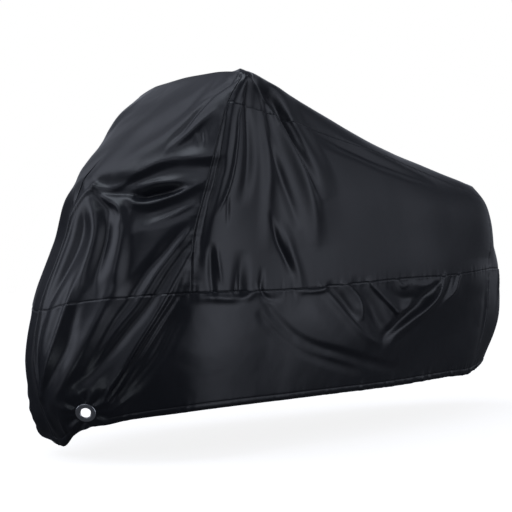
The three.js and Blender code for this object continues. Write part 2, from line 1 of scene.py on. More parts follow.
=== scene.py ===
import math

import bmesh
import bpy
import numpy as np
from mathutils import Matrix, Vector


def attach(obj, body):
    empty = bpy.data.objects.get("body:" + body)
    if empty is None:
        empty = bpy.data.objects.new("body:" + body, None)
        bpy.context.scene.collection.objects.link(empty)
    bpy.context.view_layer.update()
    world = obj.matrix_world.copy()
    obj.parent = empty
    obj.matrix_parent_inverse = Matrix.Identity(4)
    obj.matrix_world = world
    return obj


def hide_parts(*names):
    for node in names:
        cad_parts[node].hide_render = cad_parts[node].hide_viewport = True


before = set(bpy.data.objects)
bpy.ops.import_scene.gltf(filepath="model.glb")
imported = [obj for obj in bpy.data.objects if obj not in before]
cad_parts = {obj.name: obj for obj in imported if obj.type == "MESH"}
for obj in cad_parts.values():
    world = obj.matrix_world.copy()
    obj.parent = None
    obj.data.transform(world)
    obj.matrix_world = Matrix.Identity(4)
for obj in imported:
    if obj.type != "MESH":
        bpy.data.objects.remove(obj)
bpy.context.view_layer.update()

# %% [markdown]
# # A fitted motorcycle cover
# The real thing is a bag of thin coated polyester, sewn from a few panels and pulled down over what it
# covers. It is open below, its hem is gathered by a cord in a casing, and two metal eyelets sit low in its
# front. The shape is all in how the cloth hangs, so this lesson works in cloth coordinates: every point of
# the cloth has a place around the cover, measured from the middle of its front, and a place down it,
# measured from its top edge. Both are in millimetres. One function turns that pair of numbers into a point
# in space, and every panel is a flat grid that goes through it. Panels that share a seam then meet along it
# by themselves.

# %% [markdown]
# The camera comes first, because everything is judged through it. It stands low and far off, to the left of
# the front, with a long lens, and looks a little down. A long lens keeps the tail nearly as large as the
# front.

# %% Camera
CAMERA_PLACE = (-3.142, -4.306, -0.302)
CAMERA_TURN = -38.03  # degrees about the upright axis
CAMERA_DIP = 3.18  # degrees below the horizon
CAMERA_LENS = 103.57  # millimetres on a sensor 36 mm wide

camera = bpy.data.objects.new("camera", bpy.data.cameras.new("camera"))
bpy.context.scene.collection.objects.link(camera)
camera.location = CAMERA_PLACE
camera.rotation_euler = (math.radians(90 - CAMERA_DIP), 0, math.radians(CAMERA_TURN))
camera.data.sensor_width = 36
camera.data.lens = CAMERA_LENS
bpy.context.scene.camera = camera
print("camera at", CAMERA_PLACE, "with a lens of", CAMERA_LENS, "mm")

# %% [markdown]
# The hang of the cloth is a net of measured points. A station is a place around the cover and a level is a
# place down it, and each crossing has one point: x, y and the height above the ground. The near and far
# side differ a little, because what holds the cloth up isn't quite even and the cloth was pulled on by
# hand.

# %% Stations and levels
MM = 0.001
HOLD_X, HOLD_HEIGHT = 120, 1262  # the origin, in the same numbers as the tables
STATIONS = {
    "front": 0, "nose": 90, "quarter": 305, "seam": 500, "fore": 905,
    "mid": 1205, "aft": 1510, "rear": 1815, "corner": 2140, "tail": 2390,
}
LEVELS = {"ridge": 0, "spine": 110, "chest": 330, "waist": 530, "long": 715, "bulge": 920, "hem": 1115}
CROWN_HALF = 200  # from the middle of the top to the ridge at either side
CENTRE_SEAM = -30
GIRTH = 2 * STATIONS["tail"]

FRONT_STATIONS = ("front", "nose", "quarter", "seam")
FRONT_NEAR_POINTS = {  # a column for each station of the front
    "ridge": ((30, 0, 1303), (30, -110, 1309), (30, -225, 1312), (30, -325, 1304)),
    "spine": ((-95, -8, 1205), (-85, -115, 1212), (-70, -235, 1212), (-38, -341, 1206)),
    "chest": ((-404, -52, 930), (-372, -118, 925), (-262, -236, 926), (-130, -352, 937)),
    "waist": ((-484, -48, 728), (-452, -122, 730), (-330, -252, 742), (-185, -348, 752)),
    "long": ((-580, -45, 512), (-546, -120, 531), (-385, -262, 558), (-200, -350, 568)),
    "bulge": ((-602, -48, 284), (-566, -128, 298), (-402, -265, 332), (-212, -354, 358)),
    "hem": ((-506, -32, 42), (-498, -100, 94), (-384, -216, 140), (-225, -322, 166)),
}
FRONT_FAR_POINTS = {  # a column for each but the first, which lies on neither side
    "ridge": ((30, 112, 1290), (32, 220, 1274), (38, 318, 1243)),
    "spine": ((-95, 118, 1196), (-92, 222, 1182), (-45, 328, 1150)),
    "chest": ((-390, 58, 930), (-262, 210, 925), (-150, 332, 920)),
    "waist": ((-464, 58, 728), (-320, 225, 735), (-190, 335, 742)),
    "long": ((-560, 62, 500), (-400, 235, 535), (-205, 338, 560)),
    "bulge": ((-588, 62, 276), (-414, 240, 318), (-215, 342, 352)),
    "hem": ((-518, 72, 66), (-387, 205, 128), (-225, 312, 162)),
}
FRONT = {level: dict(zip(FRONT_STATIONS, row)) for level, row in FRONT_NEAR_POINTS.items()}
FRONT_FAR = {level: dict(zip(FRONT_STATIONS[1:], row)) for level, row in FRONT_FAR_POINTS.items()}
SIDE_X = {"fore": 200, "mid": 500, "aft": 800, "rear": 1100}
SIDE_OUT = {
    "ridge": (275, 200, 150, 112), "spine": (300, 245, 200, 158), "chest": (343, 312, 272, 224),
    "waist": (360, 345, 308, 254), "long": (368, 360, 330, 280), "bulge": (362, 352, 320, 268),
    "hem": (338, 310, 280, 238),
}
SIDE_HEIGHT = {
    "ridge": (1278, 1174, 1070, 990), "spine": (1159, 1100, 1030, 952), "chest": (955, 925, 890, 852),
    "waist": (758, 748, 734, 716), "long": (561, 567, 572, 570), "bulge": (358, 358, 358, 360),
    "hem": (171, 166, 160, 162),
}
CROWN_HEIGHT = {"seam": 1303, "fore": 1246, "mid": 1152, "aft": 1062, "rear": 992}
FAR_SHARE, FAR_DROP = 0.97, (30, 14, 0, 0)  # the far side is narrower, and its top lies lower
TAIL = {
    "ridge": {"corner": (1390, -98, 909), "tail": (1434, 0, 922)},
    "spine": {"corner": (1422, -122, 862), "tail": (1488, 0, 872)},
    "chest": {"corner": (1448, -140, 772), "tail": (1560, 0, 775)},
    "waist": {"corner": (1450, -148, 672), "tail": (1600, 0, 672)},
    "long": {"corner": (1432, -150, 573), "tail": (1638, 0, 560)},
    "bulge": {"corner": (1426, -154, 366), "tail": (1640, 0, 345)},
    "hem": {"corner": (1345, -146, 152), "tail": (1540, 0, 172)},
}


def net_point(level, station, near):
    """One crossing of the net, for the near or the far side."""
    if station in FRONT[level]:
        return FRONT[level][station] if near or station == "front" else FRONT_FAR[level][station]
    if station in TAIL[level]:
        x, y, height = TAIL[level][station]
        return x, y if near else -FAR_SHARE * y, height
    column = list(SIDE_X).index(station)
    drop = 0 if near or level not in ("ridge", "spine") else FAR_DROP[column]
    out = SIDE_OUT[level][column]
    return SIDE_X[station], -out if near else FAR_SHARE * out, SIDE_HEIGHT[level][column] - drop


names = list(STATIONS)
order = [(-STATIONS[n], n, False) for n in names[:0:-1]] + [(STATIONS[n], n, True) for n in names[:-1]]
EXTRA = 3  # stations repeated past both ends, so that the loop closes
turns_around = range(-EXTRA, len(order) + EXTRA)
loop_knots = np.array([order[k % len(order)][0] + GIRTH * (k // len(order)) for k in turns_around])
NET = {
    level: np.array([net_point(level, *order[k % len(order)][1:]) for k in turns_around], float)
    for level in LEVELS
}
print(len(order), "stations around and", len(LEVELS), "levels down")

# %% [markdown]
# Cloth doesn't turn corners at the stations, so a smooth curve goes through the points both ways. Its slope
# at a point is a weighted mean of the slopes before and after it, which suits stations at uneven distances.

# %% Smooth curves and the drape
def smooth_curve(points, knots, at):
    """Points on a smooth curve. points has a row for each knot, or a table of them, one for each place."""
    points, knots = np.asarray(points, float), np.asarray(knots, float)
    spread = (-1,) + (1,) * (points.ndim - 1)
    gaps = np.diff(knots).reshape(spread)
    chords = np.diff(points, axis=0) / gaps
    slopes = np.concatenate([chords[:1], points[1:-1], chords[-1:]])
    slopes[1:-1] = (chords[:-1] * gaps[1:] + chords[1:] * gaps[:-1]) / (gaps[:-1] + gaps[1:])
    first = np.clip(np.searchsorted(knots, at, side="right") - 1, 0, len(knots) - 2)
    span = knots[first + 1] - knots[first]
    u = ((at - knots[first]) / span)[:, None]
    row = (first,) if points.ndim == 2 else (first, np.arange(len(at)))
    nxt = (first + 1,) + row[1:]
    span = span[:, None]
    return (
        points[row] * (1 + 2 * u) * (1 - u) ** 2
        + slopes[row] * span * u * (1 - u) ** 2
        + points[nxt] * u * u * (3 - 2 * u)
        + slopes[nxt] * span * u * u * (u - 1)
    )


def smooth_step(low, high, value):
    u = np.clip((value - low) / (high - low), 0, 1)
    return u * u * (3 - 2 * u)


def wrapped(around):
    return (around + GIRTH / 2) % GIRTH - GIRTH / 2


def loop(level, around):
    """The closed line of the cloth at one level."""
    return smooth_curve(NET[level], loop_knots, wrapped(around))


crown_stations = ["seam", *SIDE_X, "corner"]
crown_points = [
    *[(SIDE_X.get(n, FRONT["ridge"]["front"][0]), 0, CROWN_HEIGHT[n]) for n in crown_stations[:-1]],
    TAIL["ridge"]["tail"],
]
JOIN = 60  # how far the slope of the top carries on into the front and the tail


def drape(around, down):
    """The hang of the cloth before its folds. Above the ridge it goes on over the crown."""
    around = wrapped(around)
    rows = np.stack([loop(level, around) for level in LEVELS])
    plain = smooth_curve(rows, list(LEVELS.values()), down)
    along = np.abs(around)
    middle = smooth_curve(crown_points, [STATIONS[n] for n in crown_stations], along)
    over_knots = [-2 * CROWN_HALF, -CROWN_HALF, *LEVELS.values()]
    over = smooth_curve(np.stack([loop("ridge", -around), middle, *rows]), over_knots, down)
    share = smooth_step(STATIONS["seam"] - JOIN, STATIONS["seam"], along)
    share = share * (1 - smooth_step(STATIONS["corner"], STATIONS["corner"] + JOIN, along))
    return plain + (over - plain) * share[:, None]


def crown(along, across):
    """The top of the cover: along it from the front, and across it from its middle, near side positive."""
    side = np.where(across < 0, -1.0, 1.0)
    points = drape(side * along, np.abs(across) - CROWN_HALF)
    inner = np.clip(np.abs(across), 0, CROWN_HALF)
    seam, corner, tail = STATIONS["seam"], STATIONS["corner"], STATIONS["tail"]
    top_edge = loop("ridge", side * inner * seam / CROWN_HALF) - drape(side * seam, inner - CROWN_HALF)
    tail_place = corner + (1 - inner / CROWN_HALF) * (tail - corner)
    tail_edge = loop("ridge", side * tail_place) - drape(side * corner, inner - CROWN_HALF)
    points += top_edge * (1 - smooth_step(seam, seam + 2 * JOIN, along))[:, None]
    return points + tail_edge * smooth_step(corner - 2 * JOIN, corner, along)[:, None]


print("front of the hem:", drape(np.array([0.0]), np.array([1115.0])).round())

# %% [markdown]
# Folds are what the eye reads as cloth. Each one here is given one by one: its width, its profile, and a
# line of places around and down with its height there, high for a ridge and low for a trough. A soft fold
# is round, a plain one is tighter, and a crease comes to an edge, as coated cloth does. A lap is steep on
# one side, like cloth that lies over itself.

# %% Fold tables
PROFILES = {  # how round its edge is, and how steep it is to the left and to the right of its line
    "soft": (0.9, 1.0, 1.0),
    "fold": (0.28, 1.0, 1.0),
    "crease": (0.06, 1.0, 1.0),
    "lap_left": (0.10, 2.6, 1.0),
    "lap_right": (0.10, 1.0, 2.6),
}
FRONT_FOLDS = [
    # The broad fold from the nose to the top corner, and its steep underside.
    (64, "soft", [(455, 45, 3), (363, 150, 9), (250, 215, 11), (130, 262, 10), (10, 300, 8)]),
    (34, "lap_right", [(-20, 322, 4), (84, 306, 7), (190, 303, 11), (276, 278, 12), (363, 266, 11),
                       (456, 264, 8), (530, 262, 3)]),
    (30, "fold", [(10, 332, -3), (80, 333, -8), (160, 330, -8), (240, 316, -6), (330, 296, -7),
                  (456, 290, -7), (540, 290, -3)]),
    (60, "soft", [(300, 60, 0), (180, 150, -8), (60, 220, -8), (-10, 270, 0)]),
    (22, "fold", [(480, 20, -5), (420, 60, -8), (350, 95, -5), (270, 130, 0)]),
    (13, "crease", [(495, 5, -4), (455, 16, -6), (390, 30, 0)]),
    # The flat three-cornered place near the front seam.
    (16, "crease", [(270, 246, 0), (318, 226, 6), (345, 208, 8), (378, 182, 8), (440, 146, 2)]),
    (18, "fold", [(255, 226, 0), (306, 198, -7), (336, 152, -8), (385, 95, -3), (420, 60, 0)]),
    (46, "soft", [(320, 240, 0), (400, 212, -10), (460, 222, -8), (520, 244, 0)]),
    (9, "crease", [(372, 198, 0), (390, 212, 4), (424, 238, 0)]),
    (9, "crease", [(402, 190, 0), (424, 206, 4), (448, 232, 0)]),
    # From the corner of the nose.
    (15, "crease", [(34, 342, 10), (75, 343, 8), (117, 340, 7), (165, 322, 5), (215, 294, 0)]),
    (16, "fold", [(50, 350, -3), (110, 352, -8), (170, 353, -10), (235, 356, -8)]),
    (24, "lap_right", [(36, 344, 8), (78, 362, 10), (129, 383, 10), (178, 404, 10), (200, 432, 5),
                       (206, 470, 0)]),
    (24, "fold", [(50, 362, -3), (92, 388, -8), (140, 412, -10), (172, 440, -5), (184, 480, 0)]),
    (20, "lap_left", [(30, 346, 6), (2, 378, 8), (-20, 424, 9), (-27, 500, 9), (-27, 620, 9), (-26, 760, 9),
                      (-20, 900, 8), (-10, 1060, 4)]),
    (12, "crease", [(-24, 330, 4), (-10, 345, 5), (4, 362, 0)]),
    (12, "crease", [(-60, 340, 3), (-46, 372, 5), (-36, 420, 0)]),
    (34, "fold", [(18, 400, -2), (34, 450, -10), (42, 560, -13), (30, 640, -11), (14, 690, -10),
                  (-4, 760, -9), (-14, 888, -8), (-20, 980, -2)]),
    (36, "fold", [(44, 385, 5), (82, 435, 12), (104, 490, 14), (113, 560, 13), (121, 620, 11),
                  (140, 690, 8), (150, 715, 6)]),
    (30, "fold", [(104, 405, -3), (140, 456, -12), (152, 519, -14), (164, 591, -13), (176, 645, -9),
                  (190, 690, -3)]),
    (38, "fold", [(190, 420, 7), (214, 490, 13), (226, 560, 13), (238, 630, 12), (255, 690, 9),
                  (262, 715, 7)]),
    (50, "soft", [(275, 500, 0), (300, 570, -8), (298, 660, -10), (290, 715, -6)]),
    # The deep fold under the nose and the hollow below it.
    (22, "fold", [(226, 356, -4), (262, 362, -26), (320, 354, -32), (375, 348, -26), (425, 340, -4)]),
    (13, "crease", [(236, 332, 2), (290, 326, 6), (350, 326, 6), (420, 330, 4), (468, 330, 0)]),
    (20, "crease", [(205, 376, 3), (250, 392, 8), (303, 396, 11), (387, 372, 11), (440, 350, 8),
                    (492, 330, 2)]),
    (50, "soft", [(240, 420, 0), (320, 424, -15), (400, 410, -13), (485, 388, -3)]),
]
FRONT_SEAM_FOLDS = [
    # Diagonals from the front seam to the eyelet.
    (32, "fold", [(470, 480, 0), (447, 507, -4), (402, 567, -10), (357, 624, -12), (327, 678, -12),
                  (300, 723, -10), (255, 780, -12), (210, 855, -12), (140, 948, -8), (100, 1000, 0)]),
    (18, "fold", [(492, 485, 0), (474, 510, 4), (429, 576, 8), (387, 639, 8), (360, 690, 6), (330, 747, 5),
                  (258, 828, 5), (201, 912, 4), (165, 960, 0)]),
    (24, "fold", [(500, 530, -2), (450, 595, -8), (414, 651, -10), (387, 705, -11), (366, 741, -13),
                  (303, 812, -15), (240, 882, -14), (165, 957, -8), (120, 1000, 0)]),
    (40, "lap_left", [(502, 565, 4), (474, 615, 8), (448, 665, 11), (425, 715, 13), (388, 785, 19),
                      (338, 860, 20), (286, 945, 16), (250, 1000, 5)]),
    (12, "crease", [(448, 718, -3), (394, 798, -10), (340, 878, -11), (285, 962, -10), (222, 1068, -4)]),
    (8, "crease", [(452, 735, 2), (396, 814, 5), (344, 894, 6), (294, 972, 5), (224, 1074, 2)]),
    (12, "crease", [(466, 730, -3), (402, 828, -8), (350, 910, -9), (304, 982, -8), (228, 1080, -3)]),
    (34, "fold", [(478, 750, -2), (446, 800, -8), (406, 885, -10), (350, 960, -10), (262, 1060, -5)]),
    (9, "crease", [(470, 770, 0), (440, 826, 4), (397, 912, 5), (342, 984, 3), (310, 1020, 0)]),
    (16, "crease", [(486, 500, 0), (466, 535, 4), (446, 566, 0)]),
    (14, "crease", [(494, 610, 0), (474, 655, 4), (458, 706, 2)]),
    (16, "crease", [(480, 395, 0), (440, 420, 5), (380, 450, 5), (320, 470, 0)]),
]
SKIRT_FRONT_FOLDS = [
    (16, "crease", [(106, 640, 2), (102, 711, 7), (87, 771, 8), (42, 873, 8), (-12, 966, 6), (-55, 1029, 3),
                    (-75, 1075, 0)]),
    (26, "fold", [(150, 695, -4), (136, 735, -10), (113, 831, -11), (60, 912, -9), (10, 975, -5),
                  (-30, 1030, 0)]),
    (38, "fold", [(236, 712, 9), (222, 759, 14), (190, 822, 15), (148, 888, 13), (98, 945, 10),
                  (5, 1010, 7), (-40, 1052, 3)]),
    (34, "fold", [(-60, 420, 0), (-70, 620, -10), (-75, 800, -12), (-60, 960, -8), (-40, 1060, -2)]),
    (9, "crease", [(262, 966, 2), (236, 1022, 5), (205, 1076, 3)]),
    (9, "crease", [(236, 975, 0), (214, 1020, 4), (196, 1050, 2)]),
    (9, "crease", [(108, 955, 0), (90, 1000, 4), (84, 1040, 4), (88, 1090, 0)]),
    (10, "crease", [(60, 1000, 0), (42, 1060, 5), (48, 1105, 2)]),
    (10, "crease", [(210, 1062, 3), (262, 1016, 5), (330, 950, 0)]),
    (10, "crease", [(215, 1082, 4), (280, 1058, 5), (350, 1010, 0)]),
]
SIDE_FOLDS = [
    # The dark strip beside the front seam, and the small corner of cloth at the top.
    (26, "fold", [(512, 120, -2), (526, 180, -5), (530, 260, -12), (527, 390, -13), (530, 490, -10),
                  (527, 600, -5), (520, 660, 0)]),
    (18, "lap_left", [(506, -8, 6), (480, 12, 9), (463, 34, 4), (450, 52, 0)]),
    (16, "lap_left", [(626, 100, 2), (612, 155, 4), (618, 204, 6), (615, 273, 7), (606, 333, 6),
                      (591, 399, 5), (570, 460, 0)]),
    # The fan that falls from the top corner.
    (38, "fold", [(600, 30, -2), (655, 90, -8), (694, 156, -14), (708, 231, -16), (702, 306, -13),
                  (688, 375, -6), (675, 430, 0)]),
    (40, "fold", [(720, 30, 3), (778, 100, 9), (800, 170, 14), (812, 240, 14), (820, 330, 11),
                  (816, 420, 7), (818, 520, 4), (818, 600, 0)]),
    (24, "fold", [(790, 140, 0), (842, 228, -6), (872, 294, -9), (906, 381, -8), (935, 453, -5),
                  (958, 522, 0)]),
    (44, "fold", [(810, 60, 4), (890, 130, 11), (935, 195, 16), (968, 270, 18), (998, 350, 17),
                  (1022, 430, 13), (1036, 510, 7), (1042, 600, 0)]),
    (120, "soft", [(850, 60, 0), (930, 150, 12), (985, 280, 16), (1015, 420, 14), (1030, 580, 0)]),
    (32, "fold", [(700, 16, -4), (750, 38, -9), (832, 60, -18), (926, 84, -26), (950, 125, -30),
                  (973, 186, -29), (998, 240, -24), (1024, 297, -17), (1050, 372, -6), (1062, 410, 0)]),
    (12, "crease", [(960, 90, -3), (986, 130, -6), (1009, 190, -4), (1026, 230, 0)]),
    (12, "crease", [(582, 12, 3), (678, 38, 6), (764, 58, 8), (846, 92, 8), (884, 132, 3)]),
    (60, "soft", [(950, 40, 2), (1020, 160, 8), (1080, 280, 8), (1130, 400, 0)]),
    (44, "fold", [(1090, 124, 0), (1164, 134, -7), (1245, 146, -12), (1332, 158, -13), (1419, 176, -12),
                  (1548, 192, -9), (1680, 200, -5), (1800, 205, 0)]),
    # Above the long seam.
    (16, "fold", [(819, 450, 0), (842, 505, -7), (864, 560, -10), (897, 615, -8), (922, 668, 0)]),
    (24, "fold", [(872, 490, 0), (900, 537, 5), (928, 603, 8), (956, 678, 5), (962, 714, 2)]),
    (34, "fold", [(700, 580, 0), (696, 630, -7), (691, 680, -13), (688, 716, -15)]),
    (9, "crease", [(684, 645, 0), (682, 690, 6), (681, 714, 8)]),
    (16, "fold", [(570, 550, 0), (571, 600, -6), (573, 650, -7), (577, 712, -4)]),
    (12, "crease", [(590, 556, 0), (597, 600, 4), (606, 660, 4), (612, 695, 0)]),
    (10, "crease", [(604, 375, 0), (614, 420, -4), (624, 465, -3), (630, 500, 0)]),
    (14, "fold", [(786, 635, 0), (784, 680, -5), (780, 708, -8), (790, 732, -8), (824, 744, -5),
                  (880, 742, 0)]),
    (9, "crease", [(764, 696, 2), (777, 720, 7), (798, 743, 6), (836, 766, 0)]),
]
SKIRT_SIDE_FOLDS = [
    # Lit lips of cloth right under the long seam.
    (16, "fold", [(500, 736, 0), (560, 734, 6), (640, 738, 8), (700, 736, 8), (748, 724, 4)]),
    (12, "crease", [(935, 724, 0), (980, 726, 5), (1060, 726, 6), (1090, 722, 0)]),
    # Two long thin lines that swing from the middle towards the hem.
    (20, "soft", [(790, 735, -2), (806, 756, -4), (831, 792, -5), (867, 825, -5), (936, 879, -6),
                  (1005, 915, -6), (1152, 957, -6), (1323, 1005, -5), (1440, 1035, -3), (1520, 1052, 0)]),
    (20, "soft", [(765, 780, 0), (783, 807, -4), (822, 843, -5), (891, 891, -6), (960, 933, -6),
                  (1059, 972, -6), (1194, 1014, -4), (1290, 1040, 0)]),
    (60, "soft", [(960, 760, 0), (1050, 830, 6), (1150, 900, 7), (1260, 945, 3)]),
    # The leaf and the two triangles behind it.
    (30, "lap_left", [(1070, 720, 5), (1125, 774, 8), (1194, 837, 9), (1248, 882, 9), (1305, 915, 7),
                      (1385, 945, 0)]),
    (22, "fold", [(1104, 722, -6), (1158, 768, -9), (1205, 816, -8), (1240, 850, 0)]),
    (26, "lap_left", [(1180, 718, 7), (1222, 747, 11), (1250, 777, 13), (1261, 812, 10), (1264, 852, 0)]),
    (42, "fold", [(1232, 735, -6), (1308, 798, -14), (1356, 861, -15), (1412, 909, -7), (1445, 932, 0)]),
    (26, "lap_right", [(1306, 724, 6), (1383, 784, 9), (1456, 836, 9), (1480, 852, 0)]),
    (18, "lap_right", [(1450, 838, 5), (1515, 826, 7), (1548, 804, 2)]),
    (24, "fold", [(1415, 748, -3), (1479, 783, -9), (1560, 791, -9), (1659, 785, -7), (1712, 758, 0)]),
    (10, "crease", [(1458, 720, 4), (1488, 744, 7), (1530, 738, 0)]),
    (16, "fold", [(1535, 736, 3), (1617, 748, 7), (1712, 730, 4)]),
    (26, "fold", [(1690, 758, -6), (1630, 802, -14), (1550, 840, -16), (1468, 878, -13), (1395, 922, -4)]),
    (30, "lap_right", [(1742, 722, 9), (1702, 789, 14), (1645, 826, 13), (1560, 860, 11), (1482, 893, 8),
                       (1388, 940, 0)]),
    (13, "fold", [(1800, 728, -4), (1782, 770, -6), (1730, 812, 0)]),
    (20, "lap_right", [(1850, 722, 8), (1818, 777, 10), (1762, 812, 2), (1700, 850, 0)]),
    # The back of the skirt falls in below its top.
    (70, "soft", [(1880, 760, 2), (1990, 742, 9), (2110, 738, 6)]),
    (110, "soft", [(1560, 985, -3), (1760, 950, -9), (1960, 930, -11), (2100, 940, -6)]),
    (30, "fold", [(2100, 760, 0), (2108, 900, -5), (2112, 1020, -2)]),
]
FAR_FOLDS = [
    (90, "soft", [(-100, 100, 0), (-180, 180, -6), (-230, 260, -6), (-230, 350, 0)]),
    (60, "soft", [(-430, 50, 3), (-270, 190, 8), (-130, 300, 5), (-70, 335, 5)]),
    (40, "fold", [(-66, 338, 4), (-110, 400, 8), (-140, 560, 10), (-170, 700, 8)]),
    (40, "fold", [(-480, 300, -6), (-330, 330, -16), (-170, 345, -12), (-80, 340, -4)]),
    (44, "fold", [(-500, 430, -4), (-420, 580, -12), (-330, 730, -14), (-270, 900, -8)]),
    (46, "fold", [(-490, 560, 4), (-400, 740, 14), (-300, 910, 14), (-240, 1000, 6)]),
    (34, "fold", [(-470, 740, -4), (-390, 860, -12), (-310, 990, -6)]),
    (16, "crease", [(-500, 720, 3), (-420, 850, 7), (-330, 980, 6), (-250, 1040, 0)]),
    (60, "fold", [(-620, 40, -4), (-660, 200, -14), (-700, 380, -8), (-690, 500, 0)]),
    (18, "crease", [(-570, 90, 0), (-600, 220, 7), (-610, 380, 5), (-590, 520, 0)]),
    (66, "soft", [(-700, 30, 5), (-780, 200, 12), (-850, 400, 12), (-880, 600, 4)]),
    (36, "fold", [(-860, 20, -6), (-900, 130, -20), (-980, 280, -14), (-1050, 420, 0)]),
    (56, "fold", [(-1100, 150, 0), (-1300, 200, -9), (-1600, 260, -6), (-1750, 300, 0)]),
    (22, "lap_right", [(-900, 725, -4), (-980, 830, -9), (-1130, 930, -9), (-1380, 1010, -3)]),
    (20, "crease", [(-1200, 720, 6), (-1270, 800, 12), (-1300, 900, 0)]),
    (34, "fold", [(-1320, 722, -6), (-1400, 850, -14), (-1420, 960, 0)]),
    (26, "crease", [(-1700, 725, -8), (-1600, 810, -13), (-1470, 880, -6)]),
    (30, "fold", [(-1800, 722, 8), (-1780, 820, 12), (-1700, 880, 0)]),
    (14, "crease", [(-700, 722, 5), (-650, 760, 5), (-600, 810, 0)]),
    (14, "crease", [(-1050, 700, 4), (-1020, 600, 4), (-1040, 520, 0)]),
]
TAIL_FOLDS = [
    (60, "soft", [(2260, 60, 0), (2290, 250, -8), (2280, 500, -8), (2290, 690, 0)]),
    (50, "fold", [(-2300, 730, -4), (-2290, 860, -10), (-2310, 1020, -4)]),
    (18, "crease", [(2300, 722, 5), (2270, 800, 7), (2240, 900, 0)]),
    (18, "crease", [(-2260, 722, 4), (-2230, 790, 5), (-2200, 860, 0)]),
]
CROWN_FOLDS = [
    (60, "soft", [(560, -150, 0), (760, -90, -12), (980, -70, -10), (1250, -60, 0)]),
    (60, "soft", [(-600, -130, 0), (-800, -90, -12), (-1000, -80, -8), (-1300, -70, 0)]),
    (22, "crease", [(530, -20, 3), (620, -60, 7), (760, -110, 4), (900, -150, 0)]),
    (20, "crease", [(530, -120, 0), (640, -150, 6), (800, -170, 4), (950, -185, 0)]),
    (22, "crease", [(-530, -20, 3), (-640, -70, 7), (-820, -130, 0)]),
]
FOLDS = (
    FRONT_FOLDS + FRONT_SEAM_FOLDS + SKIRT_FRONT_FOLDS + SIDE_FOLDS
    + SKIRT_SIDE_FOLDS + FAR_FOLDS + TAIL_FOLDS + CROWN_FOLDS
)
print(len(FOLDS), "folds placed by hand")

# %% [markdown]
# To lift the cloth along a fold, each point needs its distance to the fold's line. The line is first made
# smooth with the same curve as the drape. Only the points near the fold are worked on, which keeps this
# quick.

# %% Fold heights
BITS = 5  # short straight bits between two places of a fold's line


def fold_line(line):
    """A fold's line as many short bits: around, down and height at the end of each."""
    line = np.array(line, float)
    lengths = np.hypot(*np.diff(line[:, :2], axis=0).T)
    knots = np.concatenate([[0], np.cumsum(lengths)])
    at = np.interp(np.linspace(0, len(line) - 1, BITS * (len(line) - 1) + 1), np.arange(len(line)), knots)
    return smooth_curve(line, knots, at)


def add_fold(height, around, down, width, profile, line):
    """Adds one fold to the heights of the points at around and down."""
    round_edge, left, right = PROFILES[profile]
    path = fold_line(line)
    reach = 1.5 * width  # the fold ends here
    near = (around > path[:, 0].min() - reach) & (around < path[:, 0].max() + reach)
    near &= (down > path[:, 1].min() - reach) & (down < path[:, 1].max() + reach)
    places = np.stack([around[near], down[near]], 1)
    best = np.full(len(places), np.inf)
    side = np.ones(len(places))
    rise = np.zeros(len(places))
    for start, end in zip(path[:-1], path[1:]):
        way = end[:2] - start[:2]
        off = places - start[:2]
        u = np.clip(off @ way / (way @ way), 0, 1)
        apart = off - u[:, None] * way
        distance = np.hypot(apart[:, 0], apart[:, 1])
        closer = distance < best
        best[closer] = distance[closer]
        side[closer] = np.sign(way[0] * off[:, 1] - way[1] * off[:, 0])[closer]
        rise[closer] = (start[2] + (end[2] - start[2]) * u)[closer]
    steep = np.where(side < 0, left, right)
    off = (np.hypot(best * steep / reach, round_edge) - round_edge) / (math.hypot(1, round_edge) - round_edge)
    height[near] += rise * (1 - np.clip(off, 0, 1)) ** 2


def fold_height(around, down, folds):
    height = np.zeros(len(around))
    for fold in folds:
        add_fold(height, around, down, *fold)
    return height


near_folds = [f for f in FOLDS if f[2][0][0] > -100]
far_folds = [f for f in FOLDS if f[2][0][0] <= -100]

# %% [markdown]
# Between the placed folds the cloth isn't dead flat. Soft noise gives it slow swells and a few creases, and
# the sewing thread draws each seam up, so that short puckers stand across it. The noise is worked out from
# the point's place in space, so two panels agree about it at their seam.

# %% Swells, creases and seam puckers
def lattice(corner, seed):
    """A number from -1 to 1 for each corner of a lattice, always the same for the same corner."""
    n = (corner * np.array([374761393, 668265263, 1274126177], np.int64)).sum(1) + seed * 97564321
    n &= 0xFFFFFFFF
    n = ((n ^ (n >> 13)) * 1274126177) & 0xFFFFFFFF
    return (n ^ (n >> 16)) / 0x7FFFFFFF - 1.0


def soft_noise(places, size, seed, sharp=False):
    """Smooth noise from -1 to 1 at places in space, with bumps about size across."""
    scaled = places / size
    low = np.floor(scaled)
    part = scaled - low
    if not sharp:
        part = part ** 3 * (part * (part * 6 - 15) + 10)
    low = low.astype(np.int64)
    total = np.zeros(len(places))
    for corner in np.ndindex(2, 2, 2):
        weight = np.prod(np.where(corner, part, 1 - part), axis=1)
        total += weight * lattice(low + np.array(corner), seed)
    return total


TILT = np.array([[0.80, 0.36, -0.48], [-0.60, 0.48, -0.64], [0.0, 0.80, 0.60]])  # turns the lattice


def facet_noise(places, size, seed):
    """Noise of flat facets with creases between them, like cloth that has lain folded."""
    shift = soft_noise(places, size * 1.6, seed + 50)[:, None] * size * 0.5
    return soft_noise((places + shift) @ TILT, size, seed, sharp=True)


